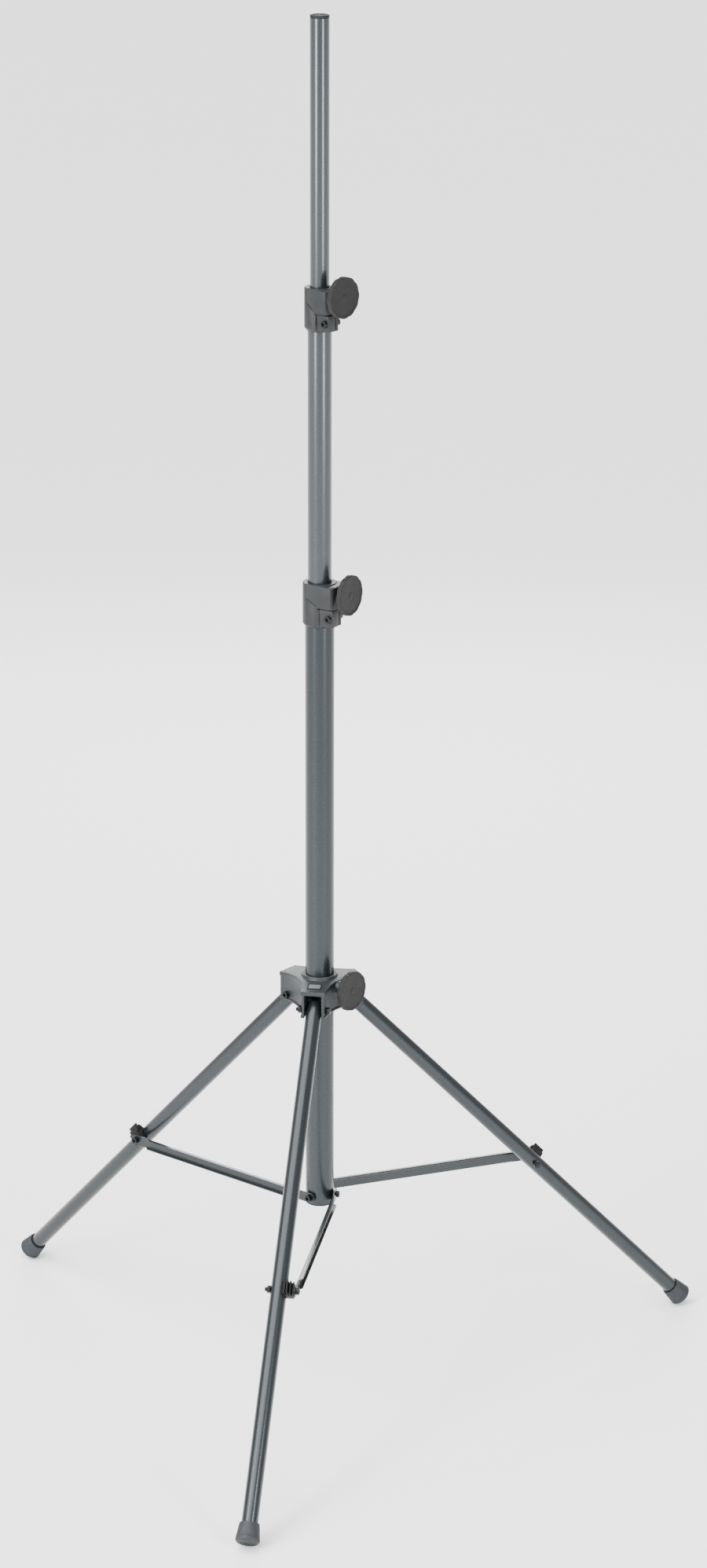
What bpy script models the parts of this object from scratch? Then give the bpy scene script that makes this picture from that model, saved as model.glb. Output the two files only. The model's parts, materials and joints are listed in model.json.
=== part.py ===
"""Tripod stand for a PA loudspeaker: a three-section telescoping pole on a folding three-legged base.

Metres, +Z up. The origin is on the floor, at the centre of the footprint's bounding box. The column stands on
stand_axis, a little behind the origin, and every sub-part is parented to it through the frame that it moves with.
Leg frame: +X down the leg, +Y to its brace side, +Z away from its upper face. Brace frame: +X outward, +Y to the
same side, +Z up. Screw frame: +X outward along a clamp knob's axis, +Z up.
"""

import math

import bmesh
import bpy

# ---- clearances ----
GAP = 0.0003
PIVOT_GAP = 0.0005
RUNNING_GAP = 0.0020

# ---- telescoping column: each section leaves glide room around the one inside it ----
TOP_TUBE_RADIUS = 0.0175
TOP_TUBE_WALL = 0.0015
TOP_TUBE_LENGTH = 0.8100
TOP_GLIDE_ROOM = 0.0030
MIDDLE_TUBE_WALL = 0.0015
MIDDLE_TUBE_LENGTH = 0.8635
MIDDLE_GLIDE_ROOM = 0.0030
LOWER_TUBE_WALL = 0.0020
LOWER_TUBE_LENGTH = 1.2030
MIDDLE_EXTENSION = 0.4680
TOP_EXTENSION = 0.4795
GLIDE_LENGTH = 0.0400
CAP_RIM_HEIGHT = 0.0050
CAP_PLUG_LENGTH = 0.0150
COLUMN_PLUG_LENGTH = 0.0300
COLUMN_PLUG_RIM = 0.0020

# ---- clamps: ring wall, height, reach of the knob boss and of the pinch lug ----
LOWER_CLAMP_WALL = 0.0045
LOWER_CLAMP_HEIGHT = 0.0820
LOWER_CLAMP_LIP = 0.0280
LOWER_CLAMP_ANGLE = math.radians(-24.0)
LOWER_LUG_HEIGHT = 0.0320
LOWER_LUG_LIFT = 0.0050
LOWER_BOSS_REACH = 0.0145
UPPER_CLAMP_WALL = 0.0060
UPPER_CLAMP_HEIGHT = 0.0795
UPPER_CLAMP_LIP = 0.0205
UPPER_CLAMP_ANGLE = math.radians(-34.0)
UPPER_LUG_HEIGHT = 0.0292
UPPER_LUG_LIFT = 0.0041
UPPER_BOSS_REACH = 0.0105
CLAMP_CHEEK_INSET = 0.0030
CLAMP_ROUND_SHARE = 0.3100
BOSS_CORNER = 0.0080
CLAMP_TOP_EDGE = 0.0010
CLAMP_BOTTOM_RIM = 0.0005
LUG_REACH = 0.0130
LUG_FACE_SHARE = 0.9300
LUG_MOVING_EAR = 0.0060
PINCH_INSET = 0.0080
NUT_SEAT_CLEARANCE = 0.0005
LUG_SLIT = 0.0020
KNOB_DROP_SHARE = 0.5900

# ---- clamp screws ----
KNOB_RADIUS = 0.0382
KNOB_LOBES = 12
KNOB_LOBE_DEPTH = 0.0010
KNOB_RIM_THICKNESS = 0.0095
KNOB_SKIRT_LENGTH = 0.0125
KNOB_SKIRT_RADIUS = 0.0165
KNOB_EDGE = 0.0015
KNOB_FACE_DISH = 0.0010
STUD_RADIUS = 0.0050
STUD_IN_KNOB = 0.0120
PAD_RADIUS = 0.0060
PAD_THICKNESS = 0.0040
SCREW_TRAVEL = 0.00225

# ---- fasteners ----
BOLT_RADIUS = 0.0040
BOLT_HEAD_RADIUS = 0.0065
BOLT_HEAD_HEIGHT = 0.0065
BOLT_SOCKET_RADIUS = 0.0033
BOLT_SOCKET_DEPTH = 0.0035
BOLT_TAIL = 0.0045
NUT_ACROSS_FLATS = 0.0130
NUT_HEIGHT = 0.0062
WASHER_RADIUS = 0.0080
WASHER_THICKNESS = 0.0019

# ---- legs ----
LEG_AZIMUTHS = {"front": -90.0, "right": 30.0, "left": 150.0}
LEG_ANGLE = math.radians(46.2)
LEG_TUBE_RADIUS = 0.0150
LEG_TUBE_WALL = 0.0015
LEG_HEAD_LENGTH = 0.0130
LEG_PIVOT_REACH = 0.0620
LEG_LENGTH = 1.0280
FOOT_LENGTH = 0.0364
FOOT_MOUTH_WALL = 0.0032
FOOT_FLARE = 0.0040
FOOT_END_WALL = 0.0090
FOOT_EDGE = 0.0040

# ---- braces ----
BRACE_JOINT_DISTANCE = 0.5538
BRACE_HEIGHT = 0.0200
BRACE_DEPTH = 0.0090
BRACE_STOCK = 0.0020
BRACE_END = 0.0130
BRACE_TAB = 0.0250
BRACE_TAPER = 0.0090
BRACE_SCREW_ROOT = 0.0100
BRACE_TO_COLUMN_END = 0.0140
SPACER_LENGTH = 0.0250
SPACER_DROP = 0.0080
SPACER_RISE = 0.0290
SPACER_FIN = 0.0026
SPACER_SLOT = 0.0022

# ---- leg base casting ----
BASE_ARM_REACH = 0.0800
BASE_ARM_WIDTH = 0.0470
BASE_SLOT_CLEARANCE = 0.0012
BASE_PLATE = 0.0080
BASE_TOP_RISE = 0.0475
BASE_ARM_FALL = 0.0055
BASE_BOTTOM_DROP = 0.0110
BASE_SIDE_RECESS = 0.0025
BASE_SPOT_FACE_RADIUS = 0.0082
BASE_HUB_WALL = 0.0050
BASE_HUB_RISE = 0.0045
BASE_SLOT_END_CLEARANCE = 0.00165
BASE_LINER_WALL = 0.0024
BASE_BOSS_RADIUS = 0.0120
BASE_BOSS_REACH = 0.0580
BASE_KNOB_AZIMUTH = -30.0
BASE_KNOB_RISE = 0.0340
BADGE_LENGTH = 0.0180
BADGE_WIDTH = 0.0260
BADGE_HEIGHT = 0.0008

# ---- smoothness of round pieces ----
TUBE_STEPS = 32
SMALL_STEPS = 16
HOLE_STEPS = 16

# ---- sizes and places worked out from the ones above ----
MIDDLE_BORE = TOP_TUBE_RADIUS + TOP_GLIDE_ROOM
MIDDLE_TUBE_RADIUS = MIDDLE_BORE + MIDDLE_TUBE_WALL
LOWER_BORE = MIDDLE_TUBE_RADIUS + MIDDLE_GLIDE_ROOM
LOWER_TUBE_RADIUS = LOWER_BORE + LOWER_TUBE_WALL
BRACE_OFFSET = LOWER_TUBE_RADIUS + WASHER_THICKNESS + 2 * GAP
BASE_LINER_RADIUS = LOWER_TUBE_RADIUS + GAP + BASE_LINER_WALL
BASE_HUB_RADIUS = BASE_LINER_RADIUS + GAP + BASE_HUB_WALL
LEG_HEAD_SWEEP = math.hypot(LEG_HEAD_LENGTH, LEG_TUBE_RADIUS)
BASE_SLOT_INNER = LEG_PIVOT_REACH - LEG_HEAD_SWEEP - BASE_SLOT_END_CLEARANCE
FOOT_MOUTH_RADIUS = LEG_TUBE_RADIUS + GAP + FOOT_MOUTH_WALL
FOOT_END_RADIUS = FOOT_MOUTH_RADIUS + FOOT_FLARE
FOOT_LOWEST_REACH = LEG_LENGTH - FOOT_EDGE
FOOT_LOWEST_SIDE = FOOT_END_RADIUS - FOOT_EDGE
PIVOT_HEIGHT = (
    FOOT_LOWEST_REACH * math.sin(LEG_ANGLE) + FOOT_LOWEST_SIDE * math.cos(LEG_ANGLE) + FOOT_EDGE
)
BRACE_PIVOT_HEIGHT = PIVOT_HEIGHT - BRACE_JOINT_DISTANCE * math.sin(LEG_ANGLE)
BRACE_LENGTH = LEG_PIVOT_REACH + BRACE_JOINT_DISTANCE * math.cos(LEG_ANGLE)
LOWER_TUBE_BOTTOM = BRACE_PIVOT_HEIGHT - BRACE_TO_COLUMN_END
LOWER_TUBE_TOP = LOWER_TUBE_BOTTOM + LOWER_TUBE_LENGTH
LOWER_CLAMP_TOP = LOWER_TUBE_TOP + LOWER_CLAMP_LIP
UPPER_CLAMP_TOP = LOWER_CLAMP_TOP + MIDDLE_EXTENSION + UPPER_CLAMP_HEIGHT
MIDDLE_TUBE_TOP = UPPER_CLAMP_TOP - UPPER_CLAMP_LIP
TOP_TUBE_TOP = UPPER_CLAMP_TOP + TOP_EXTENSION
TOP_BORE = TOP_TUBE_RADIUS - TOP_TUBE_WALL
HOLE_RADIUS = BOLT_RADIUS + GAP
LEG_BORE = LEG_TUBE_RADIUS - LEG_TUBE_WALL
FOOT_AXIS_REACH = LEG_PIVOT_REACH + LEG_LENGTH * math.cos(LEG_ANGLE)
FRONT_REACH = FOOT_AXIS_REACH + FOOT_END_RADIUS * math.sin(LEG_ANGLE)
REAR_REACH = FOOT_AXIS_REACH / 2 + math.hypot(
    FOOT_END_RADIUS * math.sin(LEG_ANGLE) / 2, FOOT_END_RADIUS * math.cos(math.radians(30.0))
)
COLUMN_SETBACK = (FRONT_REACH - REAR_REACH) / 2
OVERCUT = 0.0500


# ---- collections, materials and frames ----


def clear_scene():
    for obj in list(bpy.data.objects):
        bpy.data.objects.remove(obj, do_unlink=True)


def new_collection(name):
    collection = bpy.data.collections.new(name)
    bpy.context.scene.collection.children.link(collection)
    return collection


def material(name, colour, roughness, metallic):
    made = bpy.data.materials.new(name)
    made.use_nodes = True
    shader = made.node_tree.nodes["Principled BSDF"]
    shader.inputs["Base Color"].default_value = (*colour, 1.0)
    shader.inputs["Roughness"].default_value = roughness
    shader.inputs["Metallic"].default_value = metallic
    return made


def frame(name, parent=None, location=(0, 0, 0), rotation=(0, 0, 0)):
    empty = bpy.data.objects.new(name, None)
    empty.location = location
    empty.rotation_euler = rotation
    empty.parent = parent
    PARTS.objects.link(empty)
    return empty


clear_scene()
PARTS = new_collection("pa_speaker_stand")
CUTTERS = new_collection("cutters")
POWDER_COAT = material("powder_coat", (0.085, 0.097, 0.105), 0.38, 0.35)
CAST_PAINT = material("cast_paint", (0.095, 0.107, 0.115), 0.50, 0.25)
CLAMP_PLASTIC = material("clamp_plastic", (0.085, 0.090, 0.094), 0.50, 0.0)
KNOB_PLASTIC = material("knob_plastic", (0.050, 0.050, 0.050), 0.55, 0.0)
FOOT_RUBBER = material("foot_rubber", (0.020, 0.022, 0.026), 0.75, 0.0)
BLACK_STEEL = material("black_steel", (0.030, 0.032, 0.035), 0.35, 0.8)
GLIDE_PLASTIC = material("glide_plastic", (0.550, 0.550, 0.530), 0.45, 0.0)


# ---- shape helpers ----


def place(obj, parent, location=(0, 0, 0), rotation=(0, 0, 0)):
    obj.parent = parent
    obj.location = location
    obj.rotation_euler = rotation
    return obj


def make_cutter(obj):
    """Turns a shape into a hidden cutting tool."""
    PARTS.objects.unlink(obj)
    CUTTERS.objects.link(obj)
    obj.hide_render = True
    obj.display_type = "WIRE"
    return obj


def finish(obj, finish_material, smooth_angle=35.0):
    obj.data.materials.clear()
    obj.data.materials.append(finish_material)
    obj.data.shade_smooth()
    obj.data.set_sharp_from_angle(angle=math.radians(smooth_angle))
    return obj


def mesh_object(name, bm):
    mesh = bpy.data.meshes.new(name)
    bm.to_mesh(mesh)
    bm.free()
    obj = bpy.data.objects.new(name, mesh)
    PARTS.objects.link(obj)
    return obj


def box(name, low, high):
    """A box between two corners of its own frame."""
    bm = bmesh.new()
    bmesh.ops.create_cube(bm, size=1.0)
    size = [b - a for a, b in zip(low, high)]
    middle = [(a + b) / 2 for a, b in zip(low, high)]
    bmesh.ops.scale(bm, vec=size, verts=bm.verts)
    bmesh.ops.translate(bm, vec=middle, verts=bm.verts)
    return mesh_object(name, bm)


def rod(name, radius, low, high, steps=HOLE_STEPS):
    """A solid cylinder along its own Z, from low to high."""
    bm = bmesh.new()
    bmesh.ops.create_cone(
        bm, cap_ends=True, segments=steps, radius1=radius, radius2=radius, depth=high - low
    )
    bmesh.ops.translate(bm, vec=(0, 0, (low + high) / 2), verts=bm.verts)
    return mesh_object(name, bm)


def turned(name, profile, steps=TUBE_STEPS, ring=False):
    """A profile of (radius, height) points, run down the outer side, turned about its own Z."""
    mesh = bpy.data.meshes.new(name)
    points = [(radius, 0.0, height) for radius, height in profile]
    edges = [(i, i + 1) for i in range(len(points) - 1)]
    if ring:
        edges.append((len(points) - 1, 0))
    mesh.from_pydata(points, edges, [])
    obj = bpy.data.objects.new(name, mesh)
    PARTS.objects.link(obj)
    screw = obj.modifiers.new("turn", "SCREW")
    screw.steps = steps
    screw.render_steps = steps
    screw.use_merge_vertices = True
    screw.merge_threshold = 0.00001
    return obj


def tube(name, inner, outer, low, high, steps=TUBE_STEPS):
    return turned(name, [(outer, high), (outer, low), (inner, low), (inner, high)], steps, ring=True)


def arc(centre, radius, start, end, count):
    """Points along an arc from start to end, in degrees, both ends included."""
    turn = [math.radians(start + (end - start) * i / count) for i in range(count + 1)]
    return [(centre[0] + radius * math.cos(a), centre[1] + radius * math.sin(a)) for a in turn]


def outline(name, points, thickness, edge=0.0):
    """A flat outline in its own XY plane, extruded to both sides of it, as a closed mesh."""
    data = bpy.data.curves.new(name, "CURVE")
    data.dimensions = "2D"
    data.fill_mode = "BOTH"
    data.extrude = thickness / 2 - edge
    data.bevel_depth = edge
    data.bevel_resolution = 1
    data.offset = -edge
    spline = data.splines.new("POLY")
    spline.points.add(len(points) - 1)
    for point, (x, y) in zip(spline.points, points):
        point.co = (x, y, 0.0, 1.0)
    spline.use_cyclic_u = True
    curve = bpy.data.objects.new(name + "_outline", data)
    PARTS.objects.link(curve)
    bpy.context.view_layer.update()
    graph = bpy.context.evaluated_depsgraph_get()
    mesh = bpy.data.meshes.new_from_object(curve.evaluated_get(graph))
    bpy.data.objects.remove(curve, do_unlink=True)
    bm = bmesh.new()
    bm.from_mesh(mesh)
    bmesh.ops.remove_doubles(bm, verts=bm.verts, dist=0.00001)
    bmesh.ops.recalc_face_normals(bm, faces=bm.faces)
    bpy.data.meshes.remove(mesh)
    return mesh_object(name, bm)


def cut(obj, *cutters):
    for cutter in cutters:
        boolean(obj, make_cutter(cutter), "DIFFERENCE")
    return obj


def join(obj, *additions):
    for addition in additions:
        boolean(obj, make_cutter(addition), "UNION")
    return obj


def boolean(obj, tool, operation):
    modifier = obj.modifiers.new(tool.name, "BOOLEAN")
    modifier.operation = operation
    modifier.solver = "EXACT"
    modifier.object = tool


def hole(name, radius, low, high, parent, location=(0, 0, 0), along="Y"):
    """A drilled hole's cutter, along an axis of its parent frame."""
    turns = {"X": (0, math.radians(90), 0), "Y": (math.radians(-90), 0, 0), "Z": (0, 0, 0)}
    return place(rod(name, radius, low, high), parent, location, turns[along])


ALONG_X = (0, math.radians(90), 0)
ALONG_Y = (math.radians(-90), 0, 0)
ALONG_MINUS_Y = (math.radians(90), 0, 0)


def socket_bolt(name, parent, location, rotation, grip, root=0.0):
    """A socket-head bolt. Its own +Z points out of the head, which seats at height 0; grip is its length below."""
    top = BOLT_HEAD_HEIGHT
    profile = [
        (0.0, top - BOLT_SOCKET_DEPTH),
        (BOLT_SOCKET_RADIUS, top - BOLT_SOCKET_DEPTH),
        (BOLT_SOCKET_RADIUS, top),
        (BOLT_HEAD_RADIUS - GAP, top),
        (BOLT_HEAD_RADIUS, top - GAP),
        (BOLT_HEAD_RADIUS, root),
        (BOLT_RADIUS, root),
        (BOLT_RADIUS, -grip),
        (0.0, -grip),
    ]
    bolt = turned(name, profile, SMALL_STEPS)
    return finish(place(bolt, parent, location, rotation), BLACK_STEEL)


def hex_nut(name, parent, location, rotation):
    """A nut that seats at height 0 and stands along its own +Z."""
    corner = NUT_ACROSS_FLATS / 2 / math.cos(math.radians(30))
    nut = rod(name, corner, 0.0, NUT_HEIGHT, steps=6)
    place(nut, parent, location, rotation)
    cut(nut, place(rod(name + "_bore", HOLE_RADIUS, -OVERCUT, OVERCUT), parent, location, rotation))
    return finish(nut, BLACK_STEEL)


# ---- telescoping column ----


def build_lower_tube(column, brace_frames):
    lower = tube("lower_tube", LOWER_BORE, LOWER_TUBE_RADIUS, LOWER_TUBE_BOTTOM, LOWER_TUBE_TOP)
    place(lower, column)
    profile = [
        (0.0, COLUMN_PLUG_LENGTH),
        (LOWER_BORE - GAP, COLUMN_PLUG_LENGTH),
        (LOWER_BORE - GAP, -GAP),
        (LOWER_TUBE_RADIUS, -GAP),
        (LOWER_TUBE_RADIUS, -GAP - COLUMN_PLUG_RIM),
        (0.0, -GAP - COLUMN_PLUG_RIM),
    ]
    plug = place(turned("lower_tube_plug", profile), column, (0, 0, LOWER_TUBE_BOTTOM))
    for leg, brace in brace_frames.items():
        cut(lower, hole(f"{leg}_tube_drill", HOLE_RADIUS, BRACE_SCREW_ROOT, OVERCUT, brace))
        cut(plug, hole(f"{leg}_plug_drill", HOLE_RADIUS, BRACE_SCREW_ROOT - GAP, OVERCUT, brace))
    finish(lower, POWDER_COAT)
    finish(plug, KNOB_PLASTIC)


def build_section(column, prefix, radius, bore, length, top, outer_bore):
    """A sliding tube and the glide bush on its lower end, which runs in the tube below."""
    bottom = top - length
    sliding = place(tube(f"{prefix}_tube", bore, radius, bottom, top), column)
    glide = tube(f"{prefix}_glide", radius + GAP, outer_bore - GAP, bottom, bottom + GLIDE_LENGTH)
    place(glide, column)
    finish(sliding, POWDER_COAT)
    finish(glide, GLIDE_PLASTIC)


def build_pole_cap(column):
    edge = CAP_RIM_HEIGHT / 4
    profile = [
        (0.0, CAP_RIM_HEIGHT),
        (TOP_TUBE_RADIUS - edge, CAP_RIM_HEIGHT),
        (TOP_TUBE_RADIUS, CAP_RIM_HEIGHT - edge),
        (TOP_TUBE_RADIUS, GAP),
        (TOP_BORE - GAP, GAP),
        (TOP_BORE - GAP, -CAP_PLUG_LENGTH),
        (0.0, -CAP_PLUG_LENGTH),
    ]
    cap = place(turned("pole_cap", profile), column, (0, 0, TOP_TUBE_TOP))
    finish(cap, KNOB_PLASTIC)


# ---- clamps and their screws ----


def clamp_body(name, screw, sizes):
    """The collar on a tube's upper end: ring, knob boss and pinch lug. Height 0 of screw is the knob's axis."""
    ring = sizes["outer"] + sizes["wall"]
    top = sizes["drop"]
    bottom = top - sizes["height"]
    shoulder = top - sizes["lip"] + GAP
    chamfer = sizes["wall"] - CLAMP_BOTTOM_RIM
    profile = [
        (0.0, top),
        (ring - CLAMP_TOP_EDGE, top),
        (ring, top - CLAMP_TOP_EDGE),
        (ring, bottom + chamfer * 1.25),
        (ring - chamfer, bottom),
        (0.0, bottom),
    ]
    collar = place(turned(name, profile), screw)
    cheek = ring - CLAMP_CHEEK_INSET
    boss_end = ring + sizes["boss_reach"] - GAP
    lug_bottom = bottom + sizes["lug_lift"]
    lug_top = lug_bottom + sizes["lug_height"]
    slit_top = lug_top + LUG_SLIT
    boss_top = top - 2 * CLAMP_TOP_EDGE
    boss_bottom = lug_top + LUG_SLIT * 0.4
    corner = boss_end - BOSS_CORNER
    wide = cheek + 2 * GAP
    plan = [(0.0, -wide)]
    plan += arc((corner, BOSS_CORNER - wide), BOSS_CORNER, -90.0, 0.0, 6)
    plan += arc((corner, wide - BOSS_CORNER), BOSS_CORNER, 0.0, 90.0, 6)
    plan += [(0.0, wide)]
    side = [
        (boss_end + OVERCUT, boss_top),
        (boss_end + OVERCUT, boss_bottom),
        (-OVERCUT, boss_bottom),
        (-OVERCUT, boss_top),
    ]
    boss = place(outline(name + "_boss", plan, 2 * sizes["height"]), screw)
    band = place(outline(name + "_boss_band", side, 3 * ring), screw, (0, 0, 0), ALONG_MINUS_Y)
    boolean(boss, make_cutter(band), "INTERSECT")
    lug_face = -LUG_FACE_SHARE * sizes["outer"]
    lug_low = (sizes["outer"] * 0.6, lug_face - 2 * GAP, lug_bottom)
    lug_high = (ring + LUG_REACH, LUG_MOVING_EAR, lug_top + LUG_SLIT * 0.6)
    lug = place(box(name + "_lug", lug_low, lug_high), screw)
    join(collar, boss, lug)
    flat_start = -sizes["outer"] * 0.45
    flat = [
        (flat_start, top + OVERCUT),
        (2 * OVERCUT, top + OVERCUT),
        (2 * OVERCUT, slit_top),
        (sizes["outer"] * 0.6, slit_top),
        (flat_start, top - sizes["height"] * CLAMP_ROUND_SHARE),
    ]
    for hand in (-1, 1):
        side_cut = outline(f"{name}_flat_{hand}", list(reversed(flat)), OVERCUT)
        cut(collar, place(side_cut, screw, (0, hand * (cheek + OVERCUT / 2), 0), ALONG_MINUS_Y))
    lug_cut = box(
        name + "_lug_cut",
        (sizes["outer"] * 0.6, -ring - OVERCUT, bottom - OVERCUT),
        (ring + LUG_REACH + OVERCUT, lug_face, lug_top + LUG_SLIT / 2),
    )
    cut(collar, place(lug_cut, screw))
    lower_bore = rod(name + "_lower_bore", sizes["outer"] + GAP, bottom - OVERCUT, shoulder, TUBE_STEPS)
    upper_bore = rod(name + "_upper_bore", sizes["inner"] + GAP, bottom, top + OVERCUT, TUBE_STEPS)
    slit = box(
        name + "_slit",
        (sizes["inner"] / 2, -LUG_SLIT, bottom - OVERCUT),
        (ring + LUG_REACH + OVERCUT, 0.0, lug_top + LUG_SLIT / 2),
    )
    relief = box(
        name + "_relief",
        (sizes["outer"] * 0.5, -ring - OVERCUT, lug_top),
        (ring + LUG_REACH + OVERCUT, ring + OVERCUT, slit_top),
    )
    for tool in (lower_bore, upper_bore, slit, relief):
        place(tool, screw)
    cut(collar, lower_bore, upper_bore, slit, relief)
    pinch = (ring + LUG_REACH - PINCH_INSET, 0, (lug_bottom + lug_top) / 2)
    nut_seat_radius = NUT_ACROSS_FLATS / math.sqrt(3) + NUT_SEAT_CLEARANCE
    cut(
        collar,
        hole(name + "_pinch_drill", HOLE_RADIUS, -OVERCUT, OVERCUT, screw, pinch),
        hole(name + "_nut_seat", nut_seat_radius, LUG_MOVING_EAR, OVERCUT, screw, pinch),
    )
    stud_drill = hole(name + "_stud_drill", STUD_RADIUS + GAP, 0.0, 2 * OVERCUT, screw, along="X")
    pocket_end = sizes["inner"] + PAD_THICKNESS + SCREW_TRAVEL + 3 * GAP
    pocket = hole(name + "_pad_pocket", PAD_RADIUS + GAP, 0.0, pocket_end, screw, along="X")
    cut(collar, stud_drill, pocket)
    finish(collar, CLAMP_PLASTIC)
    return pinch


def build_clamp(column, prefix, angle, axis_height, sizes):
    screw = frame(f"{prefix}_clamp_screw", column, (0, 0, axis_height), (0, 0, angle))
    pinch = clamp_body(f"{prefix}_clamp", screw, sizes)
    head = (pinch[0], -LUG_FACE_SHARE * sizes["outer"] - GAP, pinch[2])
    tail = (pinch[0], LUG_MOVING_EAR + GAP, pinch[2])
    grip = tail[1] - head[1] + NUT_HEIGHT + BOLT_TAIL / 2
    socket_bolt(f"{prefix}_pinch_bolt", screw, head, ALONG_MINUS_Y, grip)
    hex_nut(f"{prefix}_pinch_nut", screw, tail, ALONG_Y)
    ring = sizes["outer"] + sizes["wall"]
    build_knob(screw, prefix, sizes["inner"], ring + sizes["boss_reach"] + RUNNING_GAP)


def knob_outline():
    """A circle of shallow lobes that meet in grooves."""
    points = []
    steps = KNOB_LOBES * 8
    for i in range(steps):
        angle = 2 * math.pi * i / steps
        valley = 1.0 - abs(math.cos(KNOB_LOBES / 2 * angle))
        radius = KNOB_RADIUS - KNOB_LOBE_DEPTH * valley
        points.append((radius * math.cos(angle), radius * math.sin(angle)))
    return points


def build_knob(screw, prefix, pressed_radius, seat):
    """The pressure pad, the stud and the knob, all along the screw frame's +X. seat is the knob's inner end."""
    pad_start = pressed_radius + GAP
    pad = place(rod(f"{prefix}_pressure_pad", PAD_RADIUS, 0.0, PAD_THICKNESS), screw, (pad_start, 0, 0), ALONG_X)
    finish(pad, GLIDE_PLASTIC)
    stud_start = pad_start + PAD_THICKNESS + GAP
    stud_length = seat + STUD_IN_KNOB - stud_start
    stud = place(rod(f"{prefix}_stud", STUD_RADIUS, 0.0, stud_length), screw, (stud_start, 0, 0), ALONG_X)
    finish(stud, BLACK_STEEL)
    rim = outline(f"{prefix}_knob", knob_outline(), KNOB_RIM_THICKNESS, KNOB_EDGE)
    rim_middle = seat + KNOB_SKIRT_LENGTH + KNOB_RIM_THICKNESS / 2
    place(rim, screw, (rim_middle, 0, 0), ALONG_X)
    inside = KNOB_RADIUS - 2 * KNOB_LOBE_DEPTH
    skirt_profile = [
        (0.0, KNOB_SKIRT_LENGTH + KNOB_EDGE),
        (inside, KNOB_SKIRT_LENGTH + KNOB_EDGE),
        (inside, KNOB_SKIRT_LENGTH - KNOB_EDGE),
        (KNOB_SKIRT_RADIUS, 0.0),
        (0.0, 0.0),
    ]
    skirt = place(turned(f"{prefix}_knob_skirt", skirt_profile, 24), screw, (seat, 0, 0), ALONG_X)
    join(rim, skirt)
    dish_start = seat + KNOB_SKIRT_LENGTH + KNOB_RIM_THICKNESS - KNOB_FACE_DISH
    dish = rod(f"{prefix}_knob_dish", KNOB_RADIUS - 4 * KNOB_LOBE_DEPTH, dish_start, 2 * OVERCUT, TUBE_STEPS)
    bore_end = seat + STUD_IN_KNOB + GAP
    bore = rod(f"{prefix}_knob_bore", STUD_RADIUS + GAP, seat - OVERCUT, bore_end)
    cut(rim, place(dish, screw, (0, 0, 0), ALONG_X), place(bore, screw, (0, 0, 0), ALONG_X))
    finish(rim, KNOB_PLASTIC)


# ---- leg base ----


def star_outline(reach, half_width):
    """Three arm ends joined by hollow arcs that run out tangent to the arms' sides."""
    corner = half_width / math.sin(math.radians(60))
    tangent = reach - corner / 2
    radius = tangent * math.tan(math.radians(60))
    points = []
    for azimuth in LEG_AZIMUTHS.values():
        centre_angle = math.radians(azimuth + 60.0)
        centre_reach = corner + radius / math.sin(math.radians(60))
        centre = (centre_reach * math.cos(centre_angle), centre_reach * math.sin(centre_angle))
        points += arc(centre, radius, azimuth - 90.0, azimuth - 150.0, 12)
    return points, corner, radius


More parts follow.
